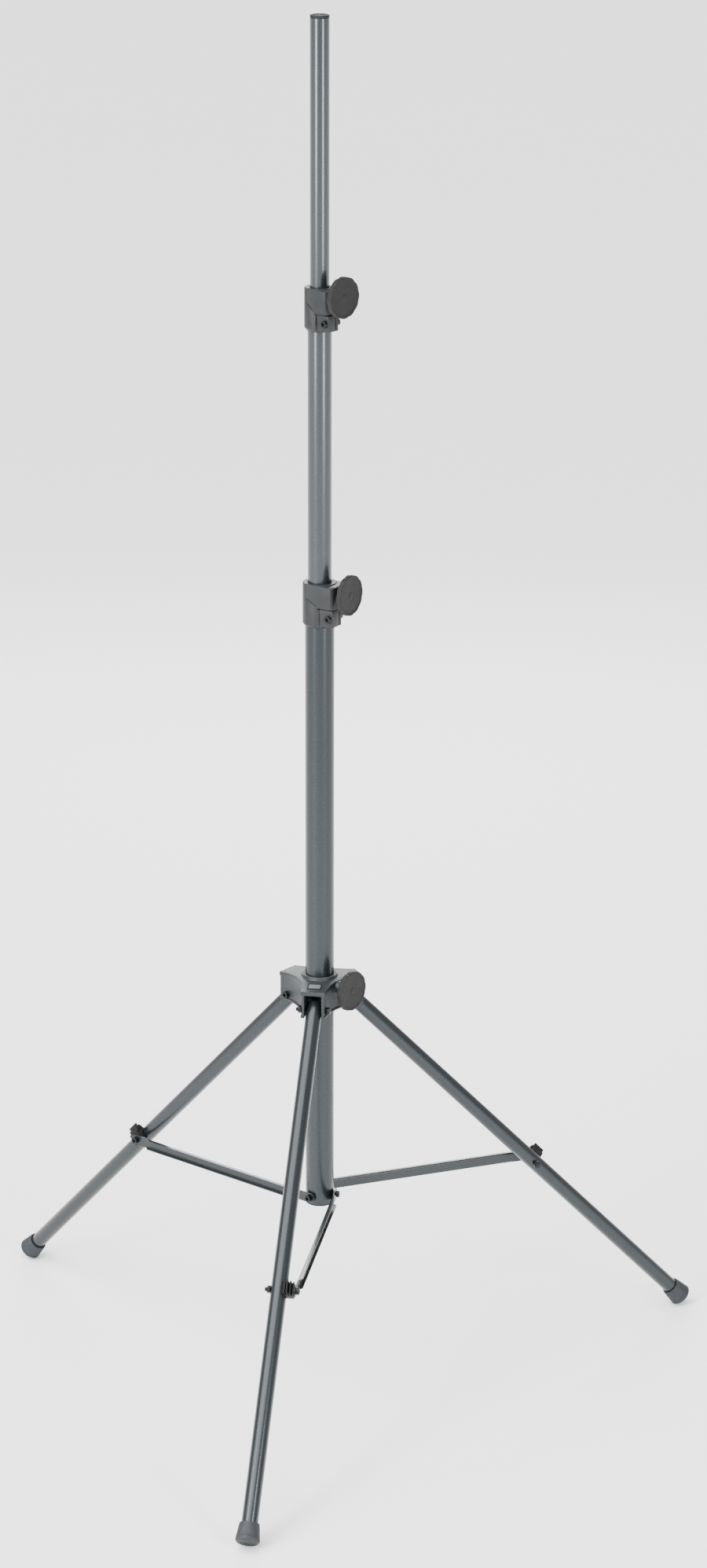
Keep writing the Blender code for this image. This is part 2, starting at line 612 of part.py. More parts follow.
def build_leg_base(base, leg_frames):
    half = BASE_ARM_WIDTH / 2
    slot_half = LEG_TUBE_RADIUS + BASE_SLOT_CLEARANCE
    star, corner, radius = star_outline(BASE_ARM_REACH, half)
    height = BASE_TOP_RISE + BASE_BOTTOM_DROP
    casting = outline("leg_base_casting", star, height)
    place(casting, base, (0, 0, (BASE_TOP_RISE - BASE_BOTTOM_DROP) / 2))
    arm_end_top = BASE_TOP_RISE - BASE_ARM_FALL
    crown_profile = [
        (0.0, BASE_TOP_RISE),
        (BASE_HUB_RADIUS, BASE_TOP_RISE),
        (BASE_ARM_REACH, arm_end_top),
        (2 * BASE_ARM_REACH, arm_end_top),
        (2 * BASE_ARM_REACH, -2 * BASE_BOTTOM_DROP),
        (0.0, -2 * BASE_BOTTOM_DROP),
    ]
    crown = make_cutter(place(turned("leg_base_crown", crown_profile), base))
    boolean(casting, crown, "INTERSECT")
    hub_top = BASE_TOP_RISE + BASE_HUB_RISE
    hub_profile = [
        (0.0, hub_top),
        (BASE_HUB_RADIUS - BASE_HUB_RISE / 2, hub_top),
        (BASE_HUB_RADIUS, BASE_TOP_RISE - BASE_HUB_RISE / 2),
        (BASE_HUB_RADIUS, -BASE_BOTTOM_DROP / 2),
        (0.0, -BASE_BOTTOM_DROP / 2),
    ]
    hub = place(turned("leg_base_hub", hub_profile), base)
    knob_side = frame("leg_base_screw", base, (0, 0, BASE_KNOB_RISE), (0, 0, math.radians(BASE_KNOB_AZIMUTH)))
    boss = place(rod("leg_base_boss", BASE_BOSS_RADIUS, 0.0, BASE_BOSS_REACH, 24), knob_side, (0, 0, 0), ALONG_X)
    join(casting, hub, boss)
    ceiling = arm_end_top - BASE_PLATE
    for leg, azimuth in LEG_AZIMUTHS.items():
        turn = math.radians(azimuth)
        slot_low = (BASE_SLOT_INNER, -slot_half, -BASE_BOTTOM_DROP - OVERCUT)
        slot = box(f"{leg}_arm_slot", slot_low, (BASE_ARM_REACH + OVERCUT, slot_half, ceiling))
        side_angle = turn + math.radians(60.0)
        side_reach = corner + radius / math.sin(math.radians(60))
        side_place = (side_reach * math.cos(side_angle), side_reach * math.sin(side_angle), 0)
        recess_low = -BASE_BOTTOM_DROP + BASE_PLATE / 2
        recess = rod(f"{leg}_side_recess", radius + BASE_SIDE_RECESS, recess_low, ceiling, 96)
        keep = rod(f"{leg}_boss_keep", BASE_BOSS_RADIUS + 2 * GAP, 0.0, 2 * BASE_BOSS_REACH, 24)
        place(recess, base, side_place)
        place(keep, knob_side, (0, 0, 0), ALONG_X)
        cut(recess, keep)
        pivot = hole(f"{leg}_pivot_drill", HOLE_RADIUS, -OVERCUT, OVERCUT, leg_frames[leg])
        head_face = hole(f"{leg}_head_face", BASE_SPOT_FACE_RADIUS, half, OVERCUT, leg_frames[leg])
        nut_face = hole(f"{leg}_nut_face", BASE_SPOT_FACE_RADIUS, -OVERCUT, -half, leg_frames[leg])
        cut(casting, place(slot, base, (0, 0, 0), (0, 0, turn)), recess, pivot, head_face, nut_face)
    bore = rod("leg_base_bore", BASE_LINER_RADIUS + GAP, -OVERCUT, 2 * OVERCUT, TUBE_STEPS)
    pocket_end = LOWER_TUBE_RADIUS + PAD_THICKNESS + SCREW_TRAVEL + 3 * GAP
    pocket = hole("leg_base_pad_pocket", PAD_RADIUS + GAP, 0.0, pocket_end, knob_side, along="X")
    stud_drill = hole("leg_base_stud_drill", STUD_RADIUS + GAP, 0.0, 2 * OVERCUT, knob_side, along="X")
    cut(casting, place(bore, base), pocket, stud_drill)
    front = math.radians(LEG_AZIMUTHS["front"])
    slope = math.atan2(BASE_ARM_FALL, BASE_ARM_REACH - BASE_HUB_RADIUS)
    badge_reach = (BASE_HUB_RADIUS + BASE_ARM_REACH) / 2
    badge_place = (badge_reach * math.cos(front), badge_reach * math.sin(front), BASE_TOP_RISE - BASE_ARM_FALL / 2)
    badge_corner = (BADGE_LENGTH / 2, BADGE_WIDTH / 2, BADGE_HEIGHT)
    badge = box("front_arm_pad", [-size for size in badge_corner], badge_corner)
    join(casting, place(badge, base, badge_place, (0, slope, front)))
    finish(casting, CAST_PAINT)
    liner = tube("leg_base_liner", LOWER_TUBE_RADIUS + GAP, BASE_LINER_RADIUS, -BASE_BOTTOM_DROP, hub_top)
    liner_hole = hole("liner_pad_hole", PAD_RADIUS + GAP, 0.0, OVERCUT, knob_side, along="X")
    finish(cut(place(liner, base), liner_hole), GLIDE_PLASTIC)
    build_knob(knob_side, "leg_base", LOWER_TUBE_RADIUS, BASE_BOSS_REACH + RUNNING_GAP)


# ---- legs ----


def build_leg(leg, side):
    """One leg in its own frame: tube, foot cap, pivot bolt and nut, spacer and brace joint bolt and nut."""
    tube_end = LEG_LENGTH - FOOT_END_WALL - GAP
    shaft = tube(f"{leg}_leg_tube", LEG_BORE, LEG_TUBE_RADIUS, -LEG_HEAD_LENGTH, tube_end, 24)
    place(shaft, side, (0, 0, 0), ALONG_X)
    joint = (BRACE_JOINT_DISTANCE, 0, 0)
    cut(
        shaft,
        hole(f"{leg}_leg_pivot_drill", HOLE_RADIUS, -OVERCUT, OVERCUT, side),
        hole(f"{leg}_leg_joint_drill", HOLE_RADIUS, -OVERCUT, OVERCUT, side, joint),
    )
    finish(shaft, POWDER_COAT)
    mouth = LEG_LENGTH - FOOT_LENGTH
    foot_profile = [
        (0.0, LEG_LENGTH),
        (FOOT_END_RADIUS - FOOT_EDGE, LEG_LENGTH),
        (FOOT_END_RADIUS - FOOT_EDGE * 0.3, LEG_LENGTH - FOOT_EDGE * 0.3),
        (FOOT_END_RADIUS, LEG_LENGTH - FOOT_EDGE),
        (FOOT_MOUTH_RADIUS, mouth),
        (LEG_TUBE_RADIUS + GAP, mouth),
        (LEG_TUBE_RADIUS + GAP, LEG_LENGTH - FOOT_END_WALL),
        (0.0, LEG_LENGTH - FOOT_END_WALL),
    ]
    foot = place(turned(f"{leg}_foot", foot_profile, 24), side, (0, 0, 0), ALONG_X)
    finish(foot, FOOT_RUBBER)
    build_spacer(leg, side, joint)
    nut_seat = LEG_TUBE_RADIUS + GAP
    bolt_low = -nut_seat - NUT_HEIGHT - BOLT_TAIL
    joint_bolt = rod(f"{leg}_joint_bolt", BOLT_RADIUS, bolt_low, BRACE_OFFSET - 2 * PIVOT_GAP)
    finish(place(joint_bolt, side, joint, ALONG_Y), BLACK_STEEL)
    hex_nut(f"{leg}_joint_nut", side, (BRACE_JOINT_DISTANCE, -nut_seat, 0), ALONG_MINUS_Y)


def build_spacer(leg, side, joint):
    """The ribbed block that carries the brace beside the round leg, drawn across the leg and extruded along it."""
    saddle = LEG_TUBE_RADIUS + GAP
    face = BRACE_OFFSET - PIVOT_GAP
    low_angle = -math.degrees(math.asin(SPACER_DROP / saddle))
    points = arc((0, 0), saddle, 62.0, low_angle, 8)
    points += [(face, -SPACER_DROP)]
    tops = [SPACER_RISE * share for share in (0.52, 0.76, 1.0, 0.83)]
    floors = [SPACER_RISE * share for share in (0.28, 0.34, 0.40)]
    across = face
    for i, top in enumerate(tops):
        points += [(across, top), (across - SPACER_FIN, top)]
        across -= SPACER_FIN
        if i < len(floors):
            points += [(across, floors[i]), (across - SPACER_SLOT, floors[i])]
            across -= SPACER_SLOT
    block = outline(f"{leg}_spacer", points, SPACER_LENGTH)
    place(block, side, joint, (math.radians(90), 0, math.radians(90)))
    cut(block, hole(f"{leg}_spacer_drill", HOLE_RADIUS, -OVERCUT, OVERCUT, side, joint))
    finish(block, KNOB_PLASTIC)


def build_leg_pivot(leg, side):
    """The bolt and nut that hinge a leg in its arm. They stay with the casting."""
    seat = BASE_ARM_WIDTH / 2 + GAP
    grip = 2 * seat + NUT_HEIGHT + BOLT_TAIL
    socket_bolt(f"{leg}_pivot_bolt", side, (0, seat, 0), ALONG_Y, grip)
    hex_nut(f"{leg}_pivot_nut", side, (0, -seat, 0), ALONG_MINUS_Y)


# ---- braces ----


def build_brace(leg, brace):
    """A pressed channel with flat ends, open to the side away from its leg, and the head on its outer end."""
    far = BRACE_LENGTH + BRACE_END
    outer = BRACE_OFFSET + BRACE_DEPTH
    web = BRACE_OFFSET + BRACE_STOCK
    plan = [
        (-BRACE_END, BRACE_OFFSET),
        (far, BRACE_OFFSET),
        (far, web),
        (BRACE_LENGTH - BRACE_TAB, web),
        (BRACE_LENGTH - BRACE_TAB - BRACE_TAPER, outer),
        (BRACE_TAB + BRACE_TAPER, outer),
        (BRACE_TAB, web),
        (-BRACE_END, web),
    ]
    bar = place(outline(f"{leg}_brace", plan, 2 * BRACE_HEIGHT), brace)
    half = BRACE_HEIGHT / 2
    silhouette = arc((far - half, 0), half, -90.0, 90.0, 8)
    silhouette += arc((half - BRACE_END, 0), half, 90.0, 270.0, 8)
    rounded = outline(f"{leg}_brace_silhouette", silhouette, 4 * outer)
    boolean(bar, make_cutter(place(rounded, brace, (0, 0, 0), ALONG_MINUS_Y)), "INTERSECT")
    channel_half = half - BRACE_STOCK
    channel_start = BRACE_TAB - BRACE_STOCK / 2
    channel_low = (channel_start, web - GAP, -channel_half)
    channel_high = (BRACE_LENGTH - channel_start, web + OVERCUT, channel_half)
    channel = box(f"{leg}_channel", channel_low, channel_high)
    end = (BRACE_LENGTH, 0, 0)
    cut(
        bar,
        place(channel, brace),
        hole(f"{leg}_brace_inner_drill", HOLE_RADIUS, 0.0, OVERCUT, brace),
        hole(f"{leg}_brace_outer_drill", HOLE_RADIUS, 0.0, OVERCUT, brace, end),
    )
    finish(bar, POWDER_COAT)
    head_seat = (BRACE_LENGTH, web + GAP, 0)
    socket_bolt(f"{leg}_joint_bolt_head", brace, head_seat, ALONG_Y, BRACE_STOCK)
    screw_seat = web + GAP
    socket_bolt(f"{leg}_brace_screw", brace, (0, screw_seat, 0), ALONG_Y, screw_seat - BRACE_SCREW_ROOT)
    washer_start = LOWER_TUBE_RADIUS + GAP
    washer = tube(f"{leg}_brace_washer", HOLE_RADIUS, WASHER_RADIUS, 0.0, WASHER_THICKNESS, SMALL_STEPS)
    finish(place(washer, brace, (0, washer_start, 0), ALONG_Y), BLACK_STEEL)


# ---- assembly ----


def build_stand():
    column = frame("stand_axis", None, (0, COLUMN_SETBACK, 0))
    base = frame("leg_base", column, (0, 0, PIVOT_HEIGHT))
    legs = {}
    braces = {}
    for leg, azimuth in LEG_AZIMUTHS.items():
        turn = math.radians(azimuth)
        pivot = (LEG_PIVOT_REACH * math.cos(turn), LEG_PIVOT_REACH * math.sin(turn), 0)
        legs[leg] = frame(f"{leg}_leg", base, pivot, (0, LEG_ANGLE, turn))
        braces[leg] = frame(f"{leg}_brace_hinge", column, (0, 0, BRACE_PIVOT_HEIGHT), (0, 0, turn))
    build_lower_tube(column, braces)
    build_section(
        column, "middle", MIDDLE_TUBE_RADIUS, MIDDLE_BORE, MIDDLE_TUBE_LENGTH, MIDDLE_TUBE_TOP, LOWER_BORE
    )
    build_section(column, "top", TOP_TUBE_RADIUS, TOP_BORE, TOP_TUBE_LENGTH, TOP_TUBE_TOP, MIDDLE_BORE)
    build_pole_cap(column)
    lower = {
        "outer": LOWER_TUBE_RADIUS,
        "inner": MIDDLE_TUBE_RADIUS,
        "wall": LOWER_CLAMP_WALL,
        "height": LOWER_CLAMP_HEIGHT,
        "lip": LOWER_CLAMP_LIP,
        "drop": LOWER_CLAMP_LIP * KNOB_DROP_SHARE,
        "lug_height": LOWER_LUG_HEIGHT,
        "lug_lift": LOWER_LUG_LIFT,
        "boss_reach": LOWER_BOSS_REACH,
    }
    upper = {
        "outer": MIDDLE_TUBE_RADIUS,
        "inner": TOP_TUBE_RADIUS,
        "wall": UPPER_CLAMP_WALL,
        "height": UPPER_CLAMP_HEIGHT,
        "lip": UPPER_CLAMP_LIP,
        "drop": UPPER_CLAMP_LIP * KNOB_DROP_SHARE,
        "lug_height": UPPER_LUG_HEIGHT,
        "lug_lift": UPPER_LUG_LIFT,
        "boss_reach": UPPER_BOSS_REACH,
    }
    build_clamp(column, "lower", LOWER_CLAMP_ANGLE, LOWER_CLAMP_TOP - lower["drop"], lower)
    build_clamp(column, "upper", UPPER_CLAMP_ANGLE, UPPER_CLAMP_TOP - upper["drop"], upper)
    build_leg_base(base, legs)
    for leg in LEG_AZIMUTHS:
        build_leg(leg, legs[leg])
        build_leg_pivot(leg, legs[leg])
        build_brace(leg, braces[leg])
    bpy.context.view_layer.update()


build_stand()
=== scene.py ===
"""Looks of a tripod stand for a PA loudspeaker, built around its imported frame.

Laid out as an add-on: each operator makes one group of pieces in the frame's own metres, +Z up, and hangs
every piece on the body that carries it. Local frames come from the frame's joints: a screw frame has +X along
a clamp screw and +Z up, a leg frame has +X down the leg and +Y to the brace's side, and a brace frame has +X
outward and +Z up.
"""

import json
import math

import bmesh
import bpy
from mathutils import Matrix, Vector


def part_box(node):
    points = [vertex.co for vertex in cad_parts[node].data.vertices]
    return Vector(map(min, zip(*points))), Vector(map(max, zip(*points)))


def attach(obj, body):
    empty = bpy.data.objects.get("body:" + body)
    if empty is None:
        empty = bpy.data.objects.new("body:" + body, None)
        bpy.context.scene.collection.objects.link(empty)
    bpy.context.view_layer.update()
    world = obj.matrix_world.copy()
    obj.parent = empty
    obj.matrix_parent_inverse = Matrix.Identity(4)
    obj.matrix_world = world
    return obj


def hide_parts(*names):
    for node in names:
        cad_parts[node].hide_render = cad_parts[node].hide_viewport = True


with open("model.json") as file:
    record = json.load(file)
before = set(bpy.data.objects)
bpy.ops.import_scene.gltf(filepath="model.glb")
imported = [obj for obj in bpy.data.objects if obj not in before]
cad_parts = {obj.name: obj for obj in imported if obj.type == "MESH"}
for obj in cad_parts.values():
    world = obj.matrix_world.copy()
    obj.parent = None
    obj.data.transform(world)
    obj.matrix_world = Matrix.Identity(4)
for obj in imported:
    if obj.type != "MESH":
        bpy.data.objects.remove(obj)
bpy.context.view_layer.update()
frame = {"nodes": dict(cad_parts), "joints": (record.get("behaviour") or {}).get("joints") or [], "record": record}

bl_info = {
    "name": "Loudspeaker Stand Looks",
    "version": (1, 0, 0),
    "blender": (4, 5, 0),
    "location": "3D View > Sidebar > Stand",
    "description": "Builds the finished pieces, materials and stage of a tripod loudspeaker stand",
    "category": "Object",
}

LEGS = ("front", "right", "left")
SCREWS = ("upper", "lower", "leg_base")
JOINTS = {joint["name"]: joint for joint in frame["joints"]}
NODE_BODY = {
    node: body for body, nodes in frame["record"]["behaviour"]["bodies"].items() for node in nodes
}
UP = Vector((0.0, 0.0, 1.0))
FINE = 96
MEDIUM = 64
SMALL = 32
GAP = 0.0003
FAR = 0.05
LOWER_TUBE_WALL = 0.0020
TUBE_WALL = 0.0015
LEG_RADIUS = 0.0150
RUNNING_GAP = 0.0020
STUD_BORE = 0.0053
PAD_BORE = 0.0063
PAD_ROOM = 0.00715
BOLT_BORE = 0.0043
NUT_SEAT_RADIUS = 0.0080
CLAMP_BOTTOM_RIM = 0.0005
CLAMP_CHEEK_INSET = 0.0030
CLAMP_ROUND_SHARE = 0.31
BOSS_CORNER = 0.0080
BOSS_TOP_DROP = 0.0014
LUG_FACE_SHARE = 0.93
LUG_MOVING_EAR = 0.0060
LUG_SLIT = 0.0020
LOWER_LUG_HEIGHT = 0.0320
UPPER_LUG_HEIGHT = 0.0292
PINCH_INSET = 0.0080
ARM_AZIMUTHS = {"front": -90.0, "right": 30.0, "left": 150.0}
ARM_REACH = 0.0800
ARM_HALF_WIDTH = 0.0235
ARM_FALL = 0.0055
ARM_SLOT_HALF = 0.0162
ARM_SLOT_INNER = 0.0405
ARM_PLATE = 0.0080
PLATE_HALF = (0.0095, 0.0130)
PLATE_MARGIN = 0.0022
HUB_RISE = 0.0045
HUB_WALL = 0.0050
BASE_BOSS_RADIUS = 0.0120
BASE_BOSS_REACH = 0.0580
BASE_BOSS_KEEP = 0.0126
BOLT_FACE_RADIUS = 0.0082
RECESS_ROOM = 0.0025
KNOB_SKIRT = 0.0125
KNOB_FADE = 0.0060
KNOB_FACE_DROP = 0.0010
STUD_SEAT = 0.0123
STUD_RADIUS = 0.0050
STUD_THREAD = (0.0008, 0.0015)
HEAD_RADIUS = 0.0065
HEAD_HEIGHT = 0.0065
BOLT_RADIUS = 0.0040
BOLT_THREAD = (0.0006, 0.00125)
BOLT_TAIL = 0.0128
HEX_SOCKET = 0.0033
HEX_SOCKET_DEPTH = 0.0036
NUT_ACROSS_FLATS = 0.0130
NUT_FACE_RADIUS = 0.0068
WASHER_RADIUS = 0.0080
FASTENER_STEPS = 48
FASTENER_EDGE = 0.0002
PAD_RADIUS = 0.0060
SPACER_GRIP = 0.0080
RIB = 0.0026
RIB_GAP = 0.0022
BRACE_STOCK = 0.0020
BRACE_HALF = 0.0100
BRACE_TAB = 0.0380
BRACE_FLARE = 0.0110
SENSOR = 36.0
LENS = 98.8403
LENS_SHIFT = 0.0215539


# ---- places read from the frame ----


def centre_of(node):
    low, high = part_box(node)
    return (low + high) / 2


def radius_of(node):
    low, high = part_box(node)
    return (high.x - low.x) / 2


def axes_matrix(x_axis, y_axis, origin):
    x = Vector(x_axis).normalized()
    y = Vector(y_axis).normalized()
    z = x.cross(y)
    matrix = Matrix((x, y, z)).transposed().to_4x4()
    matrix.translation = Vector(origin)
    return matrix


def column_frame(height=0.0):
    middle = centre_of("lower_tube")
    return Matrix.Translation((middle.x, middle.y, height))


def screw_frame(name):
    joint = JOINTS[f"{name}_knob_turn"]
    axis = Vector(joint["axis"])
    return axes_matrix(axis, UP.cross(axis), joint["pos_m"])


def turned_about_z(matrix, degrees):
    return matrix @ Matrix.Rotation(math.radians(degrees), 4, "Z")


def leg_frame(leg):
    joint = JOINTS[f"{leg}_leg_hinge"]
    side = Vector(joint["axis"]).normalized()
    pivot = Vector(joint["pos_m"])
    down = centre_of(f"{leg}_leg_tube") - pivot
    down -= side * down.dot(side)
    return axes_matrix(down, side, pivot)


def brace_frame(leg):
    joint = JOINTS[f"{leg}_brace_hinge"]
    side = -Vector(joint["axis"]).normalized()
    return axes_matrix(side.cross(UP), side, joint["pos_m"])


def span_along(node, matrix, axis=0):
    """Lowest and highest place of a frame node along one axis of a local frame."""
    inverse = matrix.inverted()
    places = [(inverse @ vertex.co)[axis] for vertex in frame["nodes"][node].data.vertices]
    return min(places), max(places)


# ---- shape helpers ----


def settings():
    return bpy.context.scene.stand_looks


def new_object(name, mesh, matrix=None):
    obj = bpy.data.objects.new(name, mesh)
    bpy.context.scene.collection.objects.link(obj)
    if matrix is not None:
        obj.matrix_world = matrix
    return obj


def mesh_from(name, bm, matrix=None):
    mesh = bpy.data.meshes.new(name)
    bm.to_mesh(mesh)
    bm.free()
    return new_object(name, mesh, matrix)


def bake(obj):
    """Replaces an object's mesh with its modified one."""
    bpy.context.view_layer.update()
    graph = bpy.context.evaluated_depsgraph_get()
    made = bpy.data.meshes.new_from_object(obj.evaluated_get(graph))
    obj.modifiers.clear()
    obj.data = made
    return obj


def boolean(obj, tool, operation="DIFFERENCE"):
    modifier = obj.modifiers.new(operation.lower(), "BOOLEAN")
    modifier.operation = operation
    modifier.solver = "EXACT"
    modifier.object = tool
    bake(obj)
    bpy.data.objects.remove(tool, do_unlink=True)
    return obj


def cut(obj, *tools):
    for tool in tools:
        boolean(obj, tool)
    return obj


def join(obj, *tools):
    for tool in tools:
        boolean(obj, tool, "UNION")
    return obj


def fillet(points, radii, steps=4, closed=False):
    """Rounds a polyline's corners. radii is one number or one per point; 0 keeps a corner."""
    count = len(points)
    if isinstance(radii, (int, float)):
        radii = [radii] * count
    made = []
    for i, point in enumerate(points):
        at = Vector(point)
        if radii[i] <= 0 or (not closed and i in (0, count - 1)):
            made.append(tuple(at))
            continue
        back = Vector(points[i - 1]) - at
        ahead = Vector(points[(i + 1) % count]) - at
        half = back.angle(ahead) / 2
        reach = min(radii[i] / math.tan(half), back.length * 0.48, ahead.length * 0.48)
        start = at + back.normalized() * reach
        end = at + ahead.normalized() * reach
        for k in range(steps + 1):
            t = k / steps
            made.append(tuple(start * (1 - t) ** 2 + at * 2 * t * (1 - t) + end * t**2))
    return made


def turned(name, profile, matrix, steps=MEDIUM, ring=False, lobes=None):
    """Turns (radius, height) points about a local Z. lobes(angle, point) gives a factor on the radius."""
    bm = bmesh.new()
    rows = []
    for i, (radius, height) in enumerate(profile):
        if radius < 1e-7:
            rows.append([bm.verts.new((0.0, 0.0, height))])
            continue
        row = []
        for k in range(steps):
            angle = 2 * math.pi * k / steps
            reach = radius * (lobes(angle, i) if lobes else 1.0)
            row.append(bm.verts.new((reach * math.cos(angle), reach * math.sin(angle), height)))
        rows.append(row)
    pairs = list(zip(rows, rows[1:]))
    if ring:
        pairs.append((rows[-1], rows[0]))
    for upper, lower in pairs:
        for k in range(steps):
            n = (k + 1) % steps
            if len(upper) == 1:
                bm.faces.new((upper[0], lower[k], lower[n]))
            elif len(lower) == 1:
                bm.faces.new((upper[k], lower[0], upper[n]))
            else:
                bm.faces.new((upper[k], lower[k], lower[n], upper[n]))
    bmesh.ops.recalc_face_normals(bm, faces=bm.faces)
    return mesh_from(name, bm, matrix)


def box(name, low, high, matrix, edge=0.0):
    bm = bmesh.new()
    bmesh.ops.create_cube(bm, size=1.0)
    bmesh.ops.scale(bm, vec=[b - a for a, b in zip(low, high)], verts=bm.verts)
    bmesh.ops.translate(bm, vec=[(a + b) / 2 for a, b in zip(low, high)], verts=bm.verts)
    if edge:
        bmesh.ops.bevel(bm, geom=bm.edges, offset=edge, segments=3, profile=0.5, affect="EDGES")
    return mesh_from(name, bm, matrix)


ALONG = {
    "X": Matrix.Rotation(math.radians(90), 4, "Y"),
    "Y": Matrix.Rotation(math.radians(-90), 4, "X"),
    "-Y": Matrix.Rotation(math.radians(90), 4, "X"),
    "Z": Matrix.Identity(4),
}


def rod(name, radius, low, high, matrix, along="Z", at=(0, 0, 0), steps=SMALL):
    bm = bmesh.new()
    bmesh.ops.create_cone(
        bm, cap_ends=True, segments=steps, radius1=radius, radius2=radius, depth=high - low
    )
    bmesh.ops.translate(bm, vec=(0, 0, (low + high) / 2), verts=bm.verts)
    return mesh_from(name, bm, matrix @ Matrix.Translation(at) @ ALONG[along])


def prism(name, points, low, high, matrix, along="Z", edge=0.0):
    """A flat outline, given in a local XY plane, made solid from low to high along that frame's Z."""
    bm = bmesh.new()
    base = [bm.verts.new((x, y, low)) for x, y in points]
    face = bm.faces.new(base)
    extruded = bmesh.ops.extrude_face_region(bm, geom=[face])
    lifted = [item for item in extruded["geom"] if isinstance(item, bmesh.types.BMVert)]
    bmesh.ops.translate(bm, vec=(0, 0, high - low), verts=lifted)
    bmesh.ops.recalc_face_normals(bm, faces=bm.faces)
    if edge:
        rims = [e for e in bm.edges if abs(e.verts[0].co.z - e.verts[1].co.z) < 1e-9]
        bmesh.ops.bevel(bm, geom=rims, offset=edge, segments=2, profile=0.5, affect="EDGES")
    return mesh_from(name, bm, matrix @ ALONG[along])


def arc(centre, radius, start, end, count):
    """Points on an arc, in degrees, both ends included."""
    turn = [math.radians(start + (end - start) * i / count) for i in range(count + 1)]
    return [(centre[0] + radius * math.cos(a), centre[1] + radius * math.sin(a)) for a in turn]


def soften(obj, width, segments=2, angle=30.0):
    """Breaks the sharp edges of a cut or joined piece."""
    weld = obj.modifiers.new("weld", "WELD")
    weld.merge_threshold = 0.00001
    bevel = obj.modifiers.new("break_edges", "BEVEL")
    bevel.width = width
    bevel.segments = segments
    bevel.limit_method = "ANGLE"
    bevel.angle_limit = math.radians(angle)
    bevel.use_clamp_overlap = False
    bevel.miter_outer = "MITER_ARC"
    return bake(obj)


def dress(obj, node, slot, smooth=35.0, look=None):
    """Shades a piece, gives it the look of its slot or its own, and puts it in a node's place on its body."""
    obj.data.shade_smooth()
    obj.data.set_sharp_from_angle(angle=math.radians(smooth))
    obj.data.materials.clear()
    obj.data.materials.append(finish(look or slot))
    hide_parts(node)
    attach(obj, NODE_BODY[node])
    return obj


# ---- finishes ----


class Nodes:
    """A few lines of node wiring for one material."""

    def __init__(self, name):
        self.material = bpy.data.materials.new(name)
        self.material.use_nodes = True
        self.tree = self.material.node_tree
        self.shader = self.tree.nodes["Principled BSDF"]
        self.place = self.add("ShaderNodeTexCoord").outputs["Object"]

    def add(self, kind, **inputs):
        node = self.tree.nodes.new(kind)
        for key, value in inputs.items():
            node.inputs[key.replace("_", " ")].default_value = value
        return node

    def link(self, source, target):
        self.tree.links.new(source, target)

    def noise(self, scale, detail=2.0, roughness=0.5):
        node = self.add("ShaderNodeTexNoise", Scale=scale, Detail=detail, Roughness=roughness)
        self.link(self.place, node.inputs["Vector"])
        return node.outputs["Fac"]

    def grain(self, scale):
        node = self.add("ShaderNodeTexVoronoi", Scale=scale)
        self.link(self.place, node.inputs["Vector"])
        return node.outputs["Distance"]

    def between(self, source, low, high, start=0.3, stop=0.7):
        node = self.add("ShaderNodeMapRange")
        node.inputs["From Min"].default_value = start
        node.inputs["From Max"].default_value = stop
        node.inputs["To Min"].default_value = low
        node.inputs["To Max"].default_value = high
        self.link(source, node.inputs["Value"])
        return node.outputs["Result"]

    def tint(self, factor, first, second):
        node = self.tree.nodes.new("ShaderNodeMix")
        node.data_type = "RGBA"
        colour_inputs = [i for i in node.inputs if i.type == "RGBA"]
        colour_inputs[0].default_value = (*first, 1.0)
        colour_inputs[1].default_value = (*second, 1.0)
        self.link(factor, node.inputs[0])
        return [o for o in node.outputs if o.type == "RGBA"][0]

    def relief(self, height, strength, distance, under=None):
        node = self.add("ShaderNodeBump", Strength=strength, Distance=distance)
        self.link(height, node.inputs["Height"])
        if under is not None:
            self.link(under, node.inputs["Normal"])
        return node.outputs["Normal"]

    def set(self, **values):
        for key, value in values.items():
            socket = self.shader.inputs[key.replace("_", " ")]
            if isinstance(value, bpy.types.NodeSocket):
                self.link(value, socket)
            else:
                socket.default_value = value


def shade(colour, factor):
    return tuple(channel * factor for channel in colour)


def powder_coat(name, colour, gloss=0.5):
    """Satin powder coat on steel tube: an orange-peel skin with a faint metallic fleck."""
    look = Nodes(name)
    cloud = look.between(look.noise(9.0, 3.0), 0.0, 1.0)
    fleck = look.between(look.noise(2600.0, 1.0), 0.0, 1.0, 0.35, 0.75)
    base = look.tint(cloud, shade(colour, 0.97), shade(colour, 1.03))
    flecked = look.tree.nodes.new("ShaderNodeMix")
    flecked.data_type = "RGBA"
    flecked.blend_type = "SOFT_LIGHT"
    flecked.inputs[0].default_value = 0.18
    look.link(base, [i for i in flecked.inputs if i.type == "RGBA"][0])
    look.link(fleck, [i for i in flecked.inputs if i.type == "RGBA"][1])
    peel = look.relief(look.noise(650.0, 2.0), 0.05, 0.0003)
    waves = look.relief(look.noise(120.0, 1.0), 0.02, 0.0004, peel)
    look.set(
        Base_Color=[o for o in flecked.outputs if o.type == "RGBA"][0],
        Roughness=look.between(look.noise(300.0, 3.0), 0.25, 0.33),
        Metallic=0.55,
        Normal=waves,
    )
    look.shader.inputs["Coat Weight"].default_value = gloss
    look.shader.inputs["Coat Roughness"].default_value = 0.2
    return look.material


